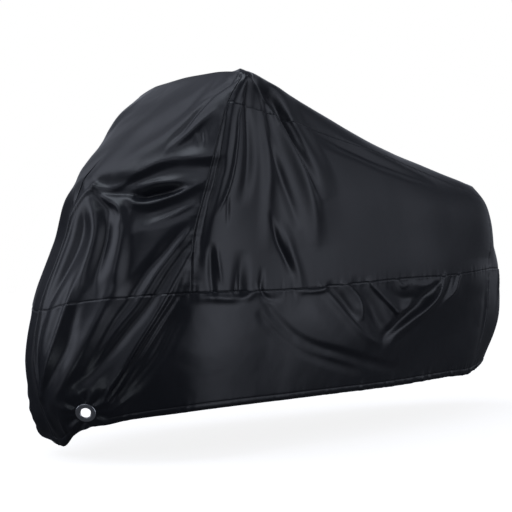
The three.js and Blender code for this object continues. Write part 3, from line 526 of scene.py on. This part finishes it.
NO_END = 9999  # further than any place on the cloth
SEAMS = [  # which way it is measured, where it lies, from and to, pucker height, reach and groove depth
    ("down", LEVELS["long"], -NO_END, NO_END, 1.3, 24, 1.9),
    ("down", LEVELS["spine"], STATIONS["seam"], STATIONS["corner"], 0.8, 22, 1.8),
    ("around", STATIONS["seam"], 0, LEVELS["long"], 2.6, 26, 3.0),
    ("around", -STATIONS["seam"], 0, LEVELS["long"], 2.6, 26, 3.0),
    ("around", CENTRE_SEAM, LEVELS["chest"], NO_END, 0.7, 16, 1.4),
    ("around", STATIONS["corner"], 0, NO_END, 1.2, 22, 1.8),
    ("around", -STATIONS["corner"], 0, NO_END, 1.2, 22, 1.8),
]
GROOVE = 2.6  # half the width of the dent along a seam
LAP, LAP_RISE = 9, 0.4  # the turned edge beside a seam stands up a little


def seam_height(around, down):
    """Groove, turned edge and puckers along every seam."""
    height = np.zeros(len(around))
    for way, place, start, end, pucker, reach, depth in SEAMS:
        offset = down - place if way == "down" else around - place
        along = np.abs(around) if way == "down" else down
        near = (np.abs(offset) < 3 * reach) & (along > start - reach) & (along < end + reach)
        if not near.any():
            continue
        off, here = offset[near], along[near]
        line = np.full(near.sum(), float(place))
        on_seam = drape(around[near], line) if way == "down" else drape(line, down[near])
        ends = smooth_step(start - reach, start, here) * (1 - smooth_step(end, end + reach, here))
        strength = 0.65 + 0.5 * soft_noise(on_seam, 120, 7)
        wave = soft_noise(on_seam, 17, 11) + 0.6 * soft_noise(on_seam, 8, 12)
        lift = pucker * strength * wave * np.exp(-((off / reach) ** 2))
        lift += LAP_RISE * np.exp(-(((off - LAP * 0.5) / (LAP * 0.5)) ** 4))
        lift -= depth * np.exp(-((off / GROOVE) ** 2))
        height[near] += lift * ends
    return height


CASING = 24  # the turned hem that holds its cord
GATHER, GATHER_AFT, GATHER_FRONT = 0.9, 2.2, 1.2  # everywhere, and what is added behind and in front
GATHER_FADE = 26  # how far above the casing the gathers run out
HEM_STITCH_DEPTH, HEM_STITCH_HALF = 1.6, 2.6


def hem_height(around, down, on_hem):
    """The casing of the hem: a stitched line, a slightly raised band, and small gathers."""
    up = LEVELS["hem"] - down
    gather = soft_noise(on_hem, 15, 21) + 0.7 * soft_noise(on_hem, 34, 22)
    along = np.abs(around)
    amount = GATHER + GATHER_AFT * smooth_step(1150, 1500, along)
    amount += GATHER_FRONT * smooth_step(420, 150, along)
    lift = amount * gather * np.exp(-((np.clip(up - CASING * 0.5, 0, None) / GATHER_FADE) ** 2))
    lift -= HEM_STITCH_DEPTH * np.exp(-(((up - CASING) / HEM_STITCH_HALF) ** 2))
    return lift + 0.8 * smooth_step(CASING, CASING - 4, up) - 5 * smooth_step(12, 0, up)


SWELL_SIZE, SWELL_HEIGHT = 260, 3.0
FACET_SIZE, SMALL_FACET_SIZE, FACET_HEIGHT = 130, 61, 2.4
RIPPLE_SIZE, RIPPLE_HEIGHT = 28, 0.25


def swells(middle, rough):
    """Slow swells everywhere, and facets where the cloth is rough."""
    slow = SWELL_HEIGHT * soft_noise(middle, SWELL_SIZE, 1)
    facets = facet_noise(middle, FACET_SIZE, 3) + 0.5 * facet_noise(middle, SMALL_FACET_SIZE, 4)
    return slow + rough * (FACET_HEIGHT * facets + RIPPLE_HEIGHT * soft_noise(middle, RIPPLE_SIZE, 5))


def cloth_height(around, down, middle):
    """How far the finished cloth stands out from its plain hang."""
    height = fold_height(around, down, near_folds if (around > CENTRE_SEAM - 1).all() else FOLDS)
    front = smooth_step(620, 420, np.abs(around))
    skirt = smooth_step(LEVELS["long"] - 30, LEVELS["long"] + 40, down)
    rough = 0.25 + 0.6 * front + 0.45 * skirt
    height += swells(middle, rough)
    height += seam_height(around, down)
    if (down > LEVELS["bulge"]).any():
        on_hem = drape(around, np.full(len(around), float(LEVELS["hem"])))
        height += hem_height(around, down, on_hem)
    return height


EDGE_FADE = 25


def edge_fade(around, down):
    """Fades to nothing on the line where the top meets the front or the tail, whose grids differ."""
    inside = np.minimum(np.abs(around) - STATIONS["seam"], STATIONS["corner"] - np.abs(around))
    return smooth_step(0, EDGE_FADE, np.hypot(np.clip(inside, 0, None), np.clip(down, 0, None)))


STEP = 3.0  # for the slope of the cloth


def shaped(surface, u, v, lift):
    """Points of a surface, lifted along the way it faces."""
    along = surface(u + STEP, v) - surface(u - STEP, v)
    across = surface(u, v + STEP) - surface(u, v - STEP)
    facing = np.cross(across, along)
    facing /= np.linalg.norm(facing, axis=1)[:, None]
    return surface(u, v) + facing * lift[:, None]


# %% [markdown]
# The cloth is flat under each eyelet, because the ring clamps it. Around the ring it gathers in short rays.

# %% Eyelets in the cloth
EYELET = {"around": 160, "down": 1058, "flat": 66, "blend": 130}
EYELET_STEP = 20
RAY_HEIGHT = 2.2
RAYS_START, RAYS_END = (33, 48), (60, 120)  # distances from the eyelet's middle


def eyelet_frame(side):
    """Where an eyelet is, the way it faces, and two directions in the cloth."""
    around, down = np.array([side * EYELET["around"]], float), np.array([EYELET["down"]], float)
    along = drape(around + side * EYELET_STEP, down) - drape(around - side * EYELET_STEP, down)
    below = drape(around, down + EYELET_STEP) - drape(around, down - EYELET_STEP)
    facing = np.cross(along, below)[0]
    facing *= -np.sign(facing[1] * side) / np.linalg.norm(facing)
    across = below[0] - facing * (below[0] @ facing)
    across /= np.linalg.norm(across)
    return drape(around, down)[0], facing, across, np.cross(facing, across)


EYELETS = {"near": eyelet_frame(1), "far": eyelet_frame(-1)}


def flatten_at_eyelets(points):
    for middle, facing, across, other in EYELETS.values():
        away = points - middle
        distance = np.linalg.norm(away, axis=1)
        flat = 1 - smooth_step(EYELET["flat"], EYELET["blend"], distance)
        points = points - facing * (flat * (away @ facing))[:, None]
        angle = np.arctan2(away @ other, away @ across)
        rays = np.cos(angle * 7 + 1.3 * np.sin(angle * 2 + 0.6)) + 0.6 * np.cos(angle * 11 + 2)
        ring = smooth_step(*RAYS_START, distance) * (1 - smooth_step(*RAYS_END, distance))
        points = points + facing * (RAY_HEIGHT * rays * ring)[:, None]
    return points


print("near eyelet at", EYELETS["near"][0].round(), "facing", EYELETS["near"][1].round(2))

# %% [markdown]
# A panel starts as a flat grid in cloth coordinates. The plane cuts add narrow rows beside the seams, where
# the cloth dips within a few millimetres, and the rest keeps a coarser cell. The flat grid stays on the
# mesh as its UV map, in metres, so the weave follows the cloth wherever it goes.

# %% Panels
CELL = 6.0
SEAM_ROWS = (1.2, 2.6, 4.5, 8, 12)
THICKNESS = 1.4


def flat_grid(bm, low, high, cells=None, plane=0.0):
    """A flat grid from low to high, in metres, on one plane."""
    size = np.subtract(high, low)
    counts = cells or [max(2, round(s / (CELL * MM))) for s in size]
    middle = np.add(high, low) / 2
    place = Matrix.Translation((*middle, plane)) @ Matrix.Diagonal((*size, 1, 1))
    bmesh.ops.create_grid(bm, x_segments=counts[0], y_segments=counts[1], size=0.5, matrix=place)


def cut_rows(bm, axis, places):
    """Straight cuts across the whole grid at these places, in millimetres."""
    normal = (1, 0, 0) if axis == "around" else (0, 1, 0)
    for place in places:
        geometry = bm.verts[:] + bm.edges[:] + bm.faces[:]
        at = [c * place * MM for c in normal]
        bmesh.ops.bisect_plane(bm, geom=geometry, dist=0.3 * MM, plane_co=at, plane_no=normal)


def beside(place, inward):
    return [place + inward * row for row in SEAM_ROWS]


def finish_mesh(name, bm, shape):
    """Turns the flat grid into the panel, and keeps the flat one as the UV map."""
    bmesh.ops.reverse_faces(bm, faces=bm.faces)
    for edge in bm.edges:
        edge.smooth = not edge.is_boundary
    mesh = bpy.data.meshes.new(name)
    bm.to_mesh(mesh)
    bm.free()
    flat = np.empty(len(mesh.vertices) * 3)
    mesh.vertices.foreach_get("co", flat)
    flat = flat.reshape(-1, 3)
    points = shape(flat / MM)
    points = flatten_at_eyelets(points) - [HOLD_X, 0, HOLD_HEIGHT]
    mesh.vertices.foreach_set("co", (points * MM).ravel())
    corners = np.empty(len(mesh.loops), np.int32)
    mesh.loops.foreach_get("vertex_index", corners)
    uv = mesh.uv_layers.new(name="cloth")
    uv.data.foreach_set("uv", flat[corners, :2].ravel())
    mesh.polygons.foreach_set("use_smooth", [True] * len(mesh.polygons))
    mesh.update()
    panel = bpy.data.objects.new(name, mesh)
    bpy.context.scene.collection.objects.link(panel)
    return panel


def side_shape(flat):
    around, down = flat[:, 0], flat[:, 1]
    middle = drape(around, down)
    lift = cloth_height(around, down, middle) * edge_fade(around, down)
    return shaped(drape, around, down, lift)


def area_of(panel):
    bm = bmesh.new()
    bm.from_mesh(panel.data)
    area = sum(f.calc_area() for f in bm.faces)
    bm.free()
    return area


panels = {}


def add_panel(node, low, high, cuts, shape=side_shape, remove=None):
    """A panel between two corners in cloth coordinates, given in millimetres."""
    bm = bmesh.new()
    flat_grid(bm, np.multiply(low, MM), np.multiply(high, MM))
    for axis, places in cuts:
        cut_rows(bm, axis, places)
    if remove:
        gone = [f for f in bm.faces if remove(f.calc_center_median() / MM)]
        bmesh.ops.delete(bm, geom=gone, context="FACES")
    panel = finish_mesh(node.replace("panel", "cloth") + ("" if "panel" in node else "_cloth"), bm, shape)
    panels[node] = panel
    flat_area = (high[0] - low[0]) * (high[1] - low[1]) * MM * MM
    print(f"{node}: {len(panel.data.polygons)} faces, {area_of(panel):.3f} m2 from {flat_area:.3f} m2 flat")


SEAM, CORNER, SPINE, LONG, HEM = (
    STATIONS["seam"], STATIONS["corner"], LEVELS["spine"], LEVELS["long"], LEVELS["hem"]
)
PATCH_INNER, PATCH_OUTER, PATCH_TOP = 90, 251.25, 944.375
HEM_ROWS = [HEM - x for x in (2, 4, 8, CASING - 3, CASING - 1.5, CASING, CASING + 1.5, CASING + 3)]

for name, side in (("near", 1), ("far", -1)):
    inner = CENTRE_SEAM
    ends = sorted((inner, side * SEAM))
    seam_cuts = beside(inner, side) + beside(side * SEAM, -side)
    add_panel(f"front_panel_{name}", (ends[0], 0), (ends[1], LONG),
              [("around", seam_cuts), ("down", beside(LONG, -1))])
    ends = sorted((side * SEAM, side * CORNER))
    seam_cuts = beside(side * SEAM, side) + beside(side * CORNER, -side)
    add_panel(f"side_panel_{name}", (ends[0], SPINE), (ends[1], LONG),
              [("around", seam_cuts), ("down", beside(LONG, -1) + beside(SPINE, 1))])
    ends = sorted((inner, side * CORNER))
    patch = sorted((side * PATCH_INNER, side * PATCH_OUTER))
    seam_cuts = beside(inner, side) + beside(side * CORNER, -side)
    add_panel(f"skirt_{name}", (ends[0], LONG), (ends[1], HEM),
              [("around", seam_cuts + patch), ("down", beside(LONG, 1) + [PATCH_TOP] + HEM_ROWS)],
              remove=lambda c, p=patch: p[0] < c[0] < p[1] and c[1] > PATCH_TOP)
add_panel("skirt_tail", (CORNER, LONG), (GIRTH - CORNER, HEM),
          [("around", beside(CORNER, 1) + beside(GIRTH - CORNER, -1)), ("down", beside(LONG, 1) + HEM_ROWS)])

# %% [markdown]
# The top panel starts at the front and runs on down the tail as a gusset. That is two grids, one along the
# top and one down the tail. They have the same number of cells where they meet, so their edge points fall
# on each other and can be merged into one cloth.

# %% Top panel and tail gusset
CROWN_CELLS, STRIP_CELLS = 60, 17
GUSSET_PLANE = 1.0  # tells the two grids apart


def spine_shape(flat):
    points = np.empty_like(flat)
    top = flat[:, 2] < GUSSET_PLANE / MM / 2
    along, across = flat[top, 0], flat[top, 1]
    near, far = (along, across - CROWN_HALF), (-along, -across - CROWN_HALF)
    lift = fold_height(*near, near_folds) + fold_height(*far, far_folds)
    middle = crown(along, across)
    lift += swells(middle, 0.25)
    side = np.where(across < 0, -1.0, 1.0)
    around, down = side * along, np.abs(across) - CROWN_HALF
    lift += seam_height(around, down)
    points[top] = shaped(crown, along, across, lift * edge_fade(around, down))
    points[~top] = side_shape(flat[~top])
    return points


strip = LEVELS["spine"]
bm = bmesh.new()
long_cells = round((CORNER - SEAM) / CELL)
reach = (CROWN_HALF + strip) * MM
for low, high, count in (
    (-reach, -CROWN_HALF * MM, STRIP_CELLS),
    (-CROWN_HALF * MM, CROWN_HALF * MM, CROWN_CELLS),
    (CROWN_HALF * MM, reach, STRIP_CELLS),
):
    flat_grid(bm, (SEAM * MM, low), (CORNER * MM, high), (long_cells, count))
for low, high, count in ((0, strip * MM, STRIP_CELLS), (strip * MM, LONG * MM, round((LONG - strip) / CELL))):
    flat_grid(bm, (CORNER * MM, low), ((GIRTH - CORNER) * MM, high), (CROWN_CELLS, count), GUSSET_PLANE)
bmesh.ops.remove_doubles(bm, verts=bm.verts, dist=0.05 * MM)
panels["spine_panel"] = finish_mesh("spine_cloth", bm, spine_shape)
bm = bmesh.new()
bm.from_mesh(panels["spine_panel"].data)
before = len(bm.verts)
bmesh.ops.remove_doubles(bm, verts=bm.verts, dist=0.1 * MM)
print("spine_panel:", len(bm.faces), "faces;", before - len(bm.verts), "edge points merged")
bm.to_mesh(panels["spine_panel"].data)
bm.free()

# %% [markdown]
# The patch that holds an eyelet is cut finer than the rest. The cells in the middle are taken out, and the
# points left at the edge of that hole are moved onto a circle, which the ring then covers.

# %% Eyelet patches
HOLE = 21.0
PATCH_CELL = 2.8


def patch_panel(name, side):
    low, high = sorted((side * PATCH_INNER, side * PATCH_OUTER))
    bm = bmesh.new()
    counts = (round((high - low) / PATCH_CELL), round((HEM - PATCH_TOP) / PATCH_CELL))
    flat_grid(bm, (low * MM, PATCH_TOP * MM), (high * MM, HEM * MM), counts)
    centre = Vector((side * EYELET["around"] * MM, EYELET["down"] * MM, 0))
    gone = [v for v in bm.verts if (v.co - centre).length < (HOLE - PATCH_CELL * 0.4) * MM]
    bmesh.ops.delete(bm, geom=gone, context="VERTS")
    for v in [v for v in bm.verts if v.is_boundary and (v.co - centre).length < (HOLE + 3 * PATCH_CELL) * MM]:
        v.co = centre + (v.co - centre).normalized() * HOLE * MM
    node = f"eyelet_patch_{name}"
    panels[node] = finish_mesh(f"{node}_cloth", bm, side_shape)
    print(node, len(panels[node].data.polygons), "faces")


patch_panel("near", 1)
patch_panel("far", -1)

# %% [markdown]
# The cloth's finish: black polyester with a thin coating. The coating gives broad, soft highlights, and the
# weave under it only shows close up. A node group makes the weave, because the threads run the same way in
# every panel.

# %% Weave group
def node(tree, kind, x, y, **values):
    made = tree.nodes.new(kind)
    made.location = (x, y)
    for key, value in values.items():
        setattr(made, key, value)
    return made


def group(name, inputs, outputs):
    """A node group with named sockets: inputs as name and value, outputs as names."""
    tree = bpy.data.node_groups.new(name, "ShaderNodeTree")
    for key, kind, value in inputs:
        socket = tree.interface.new_socket(key, in_out="INPUT", socket_type=kind)
        if value is not None:
            socket.default_value = value
    for key in outputs:
        tree.interface.new_socket(key, in_out="OUTPUT", socket_type="NodeSocketFloat")
    return tree, node(tree, "NodeGroupInput", -900, 0), node(tree, "NodeGroupOutput", 700, 0)


def math_node(tree, operation, first, second=None, x=0, y=0):
    made = node(tree, "ShaderNodeMath", x, y, operation=operation)
    for socket, value in zip(made.inputs, (first, second)):
        if value is None:
            continue
        if isinstance(value, (int, float)):
            socket.default_value = value
        else:
            tree.links.new(value, socket)
    return made.outputs[0]


weave, come, go = group(
    "plain weave",
    [("Cloth", "NodeSocketVector", None), ("Pitch", "NodeSocketFloat", 0.0006)],
    ["Height"],
)
split = node(weave, "ShaderNodeSeparateXYZ", -700, 0)
weave.links.new(come.outputs["Cloth"], split.inputs[0])
turns = math_node(weave, "DIVIDE", math.pi, come.outputs["Pitch"], -700, -200)
warp_angle = math_node(weave, "MULTIPLY", split.outputs[0], turns, -500, 100)
weft_angle = math_node(weave, "MULTIPLY", split.outputs[1], turns, -500, -100)
warp = math_node(weave, "SINE", warp_angle, None, -300, 100)
weft = math_node(weave, "SINE", weft_angle, None, -300, -100)
crossing = math_node(weave, "MULTIPLY", warp, weft, -100, 0)
weave.links.new(math_node(weave, "MULTIPLY_ADD", crossing, 0.5, 100, 0), go.inputs["Height"])
print("weave group:", len(weave.nodes), "nodes")

# %% [markdown]
# The coating isn't even. A large soft noise in Object coordinates lets its colour and its roughness drift a
# little together, a finer one raises small crinkles, and the weave group is a second, much lower bump on
# top of them.

# %% Cloth material
CLOTH_COLOUR = (0.0070, 0.0080, 0.0115, 1)
CLOTH_WORN = (0.0105, 0.0120, 0.0165, 1)
CLOTH_ROUGHNESS = (0.30, 0.40)
BLOOM_SCALE, BLOOM_DETAIL = 5.0, 5.0
CRINKLE_SCALE, CRINKLE_DETAIL = 60.0, 3.0
CRINKLE_BUMP = (0.12, 0.0015)  # strength, and depth in metres
WEAVE_BUMP = (0.15, 0.0001)

cloth = bpy.data.materials.new("coated polyester, black")
cloth.use_nodes = True
tree = cloth.node_tree
shader = tree.nodes["Principled BSDF"]
uv_map = node(tree, "ShaderNodeUVMap", -1300, 0, uv_map="cloth")
place = node(tree, "ShaderNodeTexCoord", -1300, -300)
threads = node(tree, "ShaderNodeGroup", -1000, 200, node_tree=weave)
tree.links.new(uv_map.outputs[0], threads.inputs["Cloth"])

bloom = node(tree, "ShaderNodeTexNoise", -1000, -100)
bloom.inputs["Scale"].default_value = BLOOM_SCALE
bloom.inputs["Detail"].default_value = BLOOM_DETAIL
tree.links.new(place.outputs["Object"], bloom.inputs["Vector"])
colour = node(tree, "ShaderNodeMix", -500, 300, data_type="RGBA")
tree.links.new(bloom.outputs[0], colour.inputs["Factor"])
colour.inputs["A"].default_value = CLOTH_COLOUR
colour.inputs["B"].default_value = CLOTH_WORN
tree.links.new(colour.outputs["Result"], shader.inputs["Base Color"])

shine = node(tree, "ShaderNodeMapRange", -500, 0)
shine.inputs["To Min"].default_value, shine.inputs["To Max"].default_value = CLOTH_ROUGHNESS
tree.links.new(bloom.outputs[0], shine.inputs["Value"])
tree.links.new(shine.outputs[0], shader.inputs["Roughness"])

crinkle = node(tree, "ShaderNodeTexNoise", -1000, -400)
crinkle.inputs["Scale"].default_value = CRINKLE_SCALE
crinkle.inputs["Detail"].default_value = CRINKLE_DETAIL
tree.links.new(place.outputs["Object"], crinkle.inputs["Vector"])
soft_bump = node(tree, "ShaderNodeBump", -500, -300)
soft_bump.inputs["Strength"].default_value, soft_bump.inputs["Distance"].default_value = CRINKLE_BUMP
tree.links.new(crinkle.outputs[0], soft_bump.inputs["Height"])
weave_bump = node(tree, "ShaderNodeBump", -250, -300)
weave_bump.inputs["Strength"].default_value, weave_bump.inputs["Distance"].default_value = WEAVE_BUMP
tree.links.new(threads.outputs["Height"], weave_bump.inputs["Height"])
tree.links.new(soft_bump.outputs[0], weave_bump.inputs["Normal"])
tree.links.new(weave_bump.outputs[0], shader.inputs["Normal"])
shader.inputs["Specular IOR Level"].default_value = 0.5
print("cloth material:", len(tree.nodes), "nodes")

# %% [markdown]
# The eyelet rings come from the frame with the right shape, so they only need a finish. It is plain plated
# metal, which blurs what it mirrors a little.

# %% Eyelet metal
METAL_COLOUR = (0.62, 0.63, 0.65, 1)
METAL_ROUGHNESS = 0.2

metal = bpy.data.materials.new("plated metal")
metal.use_nodes = True
metal_shader = metal.node_tree.nodes["Principled BSDF"]
metal_shader.inputs["Base Color"].default_value = METAL_COLOUR
metal_shader.inputs["Metallic"].default_value = 1
metal_shader.inputs["Roughness"].default_value = METAL_ROUGHNESS

# %% [markdown]
# Each panel gets its thickness from a Solidify modifier, half to either side of the shape, as the frame's
# sheets have it. Then it is attached to the body it rides on, and the frame's solid that it replaces is
# hidden.

# %% Thickness, finish and place in the frame
for node_name, panel in panels.items():
    panel.data.materials.append(cloth)
    solid = panel.modifiers.new("thickness", "SOLIDIFY")
    solid.thickness = THICKNESS * MM
    solid.offset = 0
    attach(panel, "root")
    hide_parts(node_name)

for name in ("near", "far"):
    ring = bpy.data.objects[f"eyelet_ring_{name}"]
    ring.data.materials.clear()
    ring.data.materials.append(metal)

# %% [markdown]
# Last come the floor and the light. The cloth is black and glossy, so nearly all that shows is what it
# mirrors. A flat side mirrors what lies to the front and right of it, the top mirrors what lies high behind
# it, and the front mirrors what lies to the left. So the surroundings are dark, with a few soft-edged
# panels of light in those directions. Each panel is a smooth spot on the sky round one direction. A fold
# turns the cloth from a bright panel towards the dark beside it, and that is what draws it.

# %% Floor, light and surroundings
FLOOR_HEIGHT = -HOLD_HEIGHT * MM
FLOOR_MIDDLE = (0.3, 0, FLOOR_HEIGHT)
FLOOR_REACH = 9.0
FLOOR_FADE = (1.6, 7.0)  # metres from its middle: where it starts to clear, and where it has gone
FLOOR_COLOUR = (0.45, 0.45, 0.46, 1)
FLOOR_GLOW = 0.85
SKY_COLOUR = (0.88, 0.93, 1.08, 1)
GLOOM = 0.055  # the light between the panels
PANELS_OF_LIGHT = [  # name, which way it lies, full within and dark beyond this many degrees, strength
    ("front wall", (0.36, -0.92, 0.13), 8, 24, 1.20),
    ("right wall", (0.74, -0.64, 0.22), 9, 25, 0.43),
    ("right wall, high", (0.80, -0.44, 0.46), 8, 22, 0.30),
    ("low front", (0.48, -0.84, -0.26), 8, 22, 0.64),
    ("tail", (0.99, 0.14, 0.04), 3, 14, 0.25),
    ("high left", (-0.30, 0.30, 0.91), 14, 36, 1.00),
    ("high back", (-0.02, 0.80, 0.60), 8, 34, 0.18),
    ("back left", (-0.82, 0.40, 0.40), 10, 28, 1.60),
    ("left", (-0.88, -0.40, 0.30), 5, 20, 0.34),
    ("low left", (-0.95, 0.06, -0.20), 6, 22, 0.60),
    ("front left", (-0.54, -0.56, 0.63), 5, 21, 1.00),
    ("far wall", (0.56, 0.82, 0.10), 12, 30, 0.45),
    ("behind", (0.84, 0.48, 0.26), 8, 24, 0.30),
]

bm = bmesh.new()
floor_place = Matrix.Translation(FLOOR_MIDDLE)
bmesh.ops.create_circle(bm, cap_ends=True, segments=96, radius=FLOOR_REACH, matrix=floor_place)
floor_mesh = bpy.data.meshes.new("floor")
bm.to_mesh(floor_mesh)
bm.free()
floor = bpy.data.objects.new("floor", floor_mesh)
bpy.context.scene.collection.objects.link(floor)
floor.visible_glossy = False
floor.visible_diffuse = False

paper = bpy.data.materials.new("pale floor")
paper.use_nodes = True
tree = paper.node_tree
paper_shader = tree.nodes["Principled BSDF"]
paper_shader.inputs["Base Color"].default_value = FLOOR_COLOUR
paper_shader.inputs["Roughness"].default_value = 0.9
paper_shader.inputs["Emission Color"].default_value = (1, 1, 1, 1)
paper_shader.inputs["Emission Strength"].default_value = FLOOR_GLOW
place = node(tree, "ShaderNodeTexCoord", -900, 0)
reach = node(tree, "ShaderNodeVectorMath", -700, 0, operation="DISTANCE")
tree.links.new(place.outputs["Object"], reach.inputs[0])
reach.inputs[1].default_value = FLOOR_MIDDLE
fade = node(tree, "ShaderNodeMapRange", -500, 0)
fade.inputs["From Min"].default_value, fade.inputs["From Max"].default_value = FLOOR_FADE
tree.links.new(reach.outputs["Value"], fade.inputs["Value"])
clear = node(tree, "ShaderNodeBsdfTransparent", -300, -200)
mix = node(tree, "ShaderNodeMixShader", 100, 0)
tree.links.new(fade.outputs[0], mix.inputs[0])
tree.links.new(paper_shader.outputs[0], mix.inputs[1])
tree.links.new(clear.outputs[0], mix.inputs[2])
tree.links.new(mix.outputs[0], tree.nodes["Material Output"].inputs[0])
floor_mesh.materials.append(paper)

world = bpy.data.worlds.new("studio")
bpy.context.scene.world = world
world.use_nodes = True
tree = world.node_tree
surround = tree.nodes["Background"]
view_white = node(tree, "ShaderNodeBackground", 0, -200)
view_white.inputs["Color"].default_value = (1, 1, 1, 1)
coords = node(tree, "ShaderNodeTexCoord", -900, 0)
total = None
for k, (name, way, full, edge, strength) in enumerate(PANELS_OF_LIGHT):
    toward = node(tree, "ShaderNodeVectorMath", -700, -220 * k, operation="DOT_PRODUCT", label=name)
    tree.links.new(coords.outputs["Generated"], toward.inputs[0])
    toward.inputs[1].default_value = Vector(way).normalized()
    glow = node(tree, "ShaderNodeMapRange", -500, -220 * k, interpolation_type="SMOOTHSTEP")
    glow.inputs["From Min"].default_value = math.cos(math.radians(edge))
    glow.inputs["From Max"].default_value = math.cos(math.radians(full))
    glow.inputs["To Max"].default_value = strength
    tree.links.new(toward.outputs["Value"], glow.inputs["Value"])
    total = math_node(tree, "ADD", glow.outputs[0], GLOOM if total is None else total, -250, -220 * k)
tree.links.new(total, surround.inputs["Strength"])
surround.inputs["Color"].default_value = SKY_COLOUR
rays = node(tree, "ShaderNodeLightPath", 0, 200)
mix = node(tree, "ShaderNodeMixShader", 300, 0)
tree.links.new(rays.outputs["Is Camera Ray"], mix.inputs[0])
tree.links.new(surround.outputs[0], mix.inputs[1])
tree.links.new(view_white.outputs[0], mix.inputs[2])
tree.links.new(mix.outputs[0], tree.nodes["World Output"].inputs[0])

LAMP_COLOUR = (0.82, 0.90, 1.0)
LIGHTS = [  # name, place, aims at, width, height, power
    ("overhead softbox", (-0.9, -0.5, 3.4), (0.1, 0, -0.2), 2.4, 1.8, 30),
    ("low card", (-1.05, -0.62, -1.24), (-0.61, -0.155, -1.09), 0.3, 0.12, 0.25),
]
for name, place, aim, width, height, power in LIGHTS:
    light = bpy.data.lights.new(name, "AREA")
    light.shape = "RECTANGLE"
    light.size, light.size_y = width, height
    light.energy = power
    light.color = LAMP_COLOUR
    lamp = bpy.data.objects.new(name, light)
    bpy.context.scene.collection.objects.link(lamp)
    lamp.location = place
    lamp.rotation_euler = (Vector(aim) - Vector(place)).to_track_quat("-Z", "Y").to_euler()
bpy.context.scene.view_settings.view_transform = "Standard"
print(len(PANELS_OF_LIGHT), "panels of light and", len(LIGHTS), "lamps")
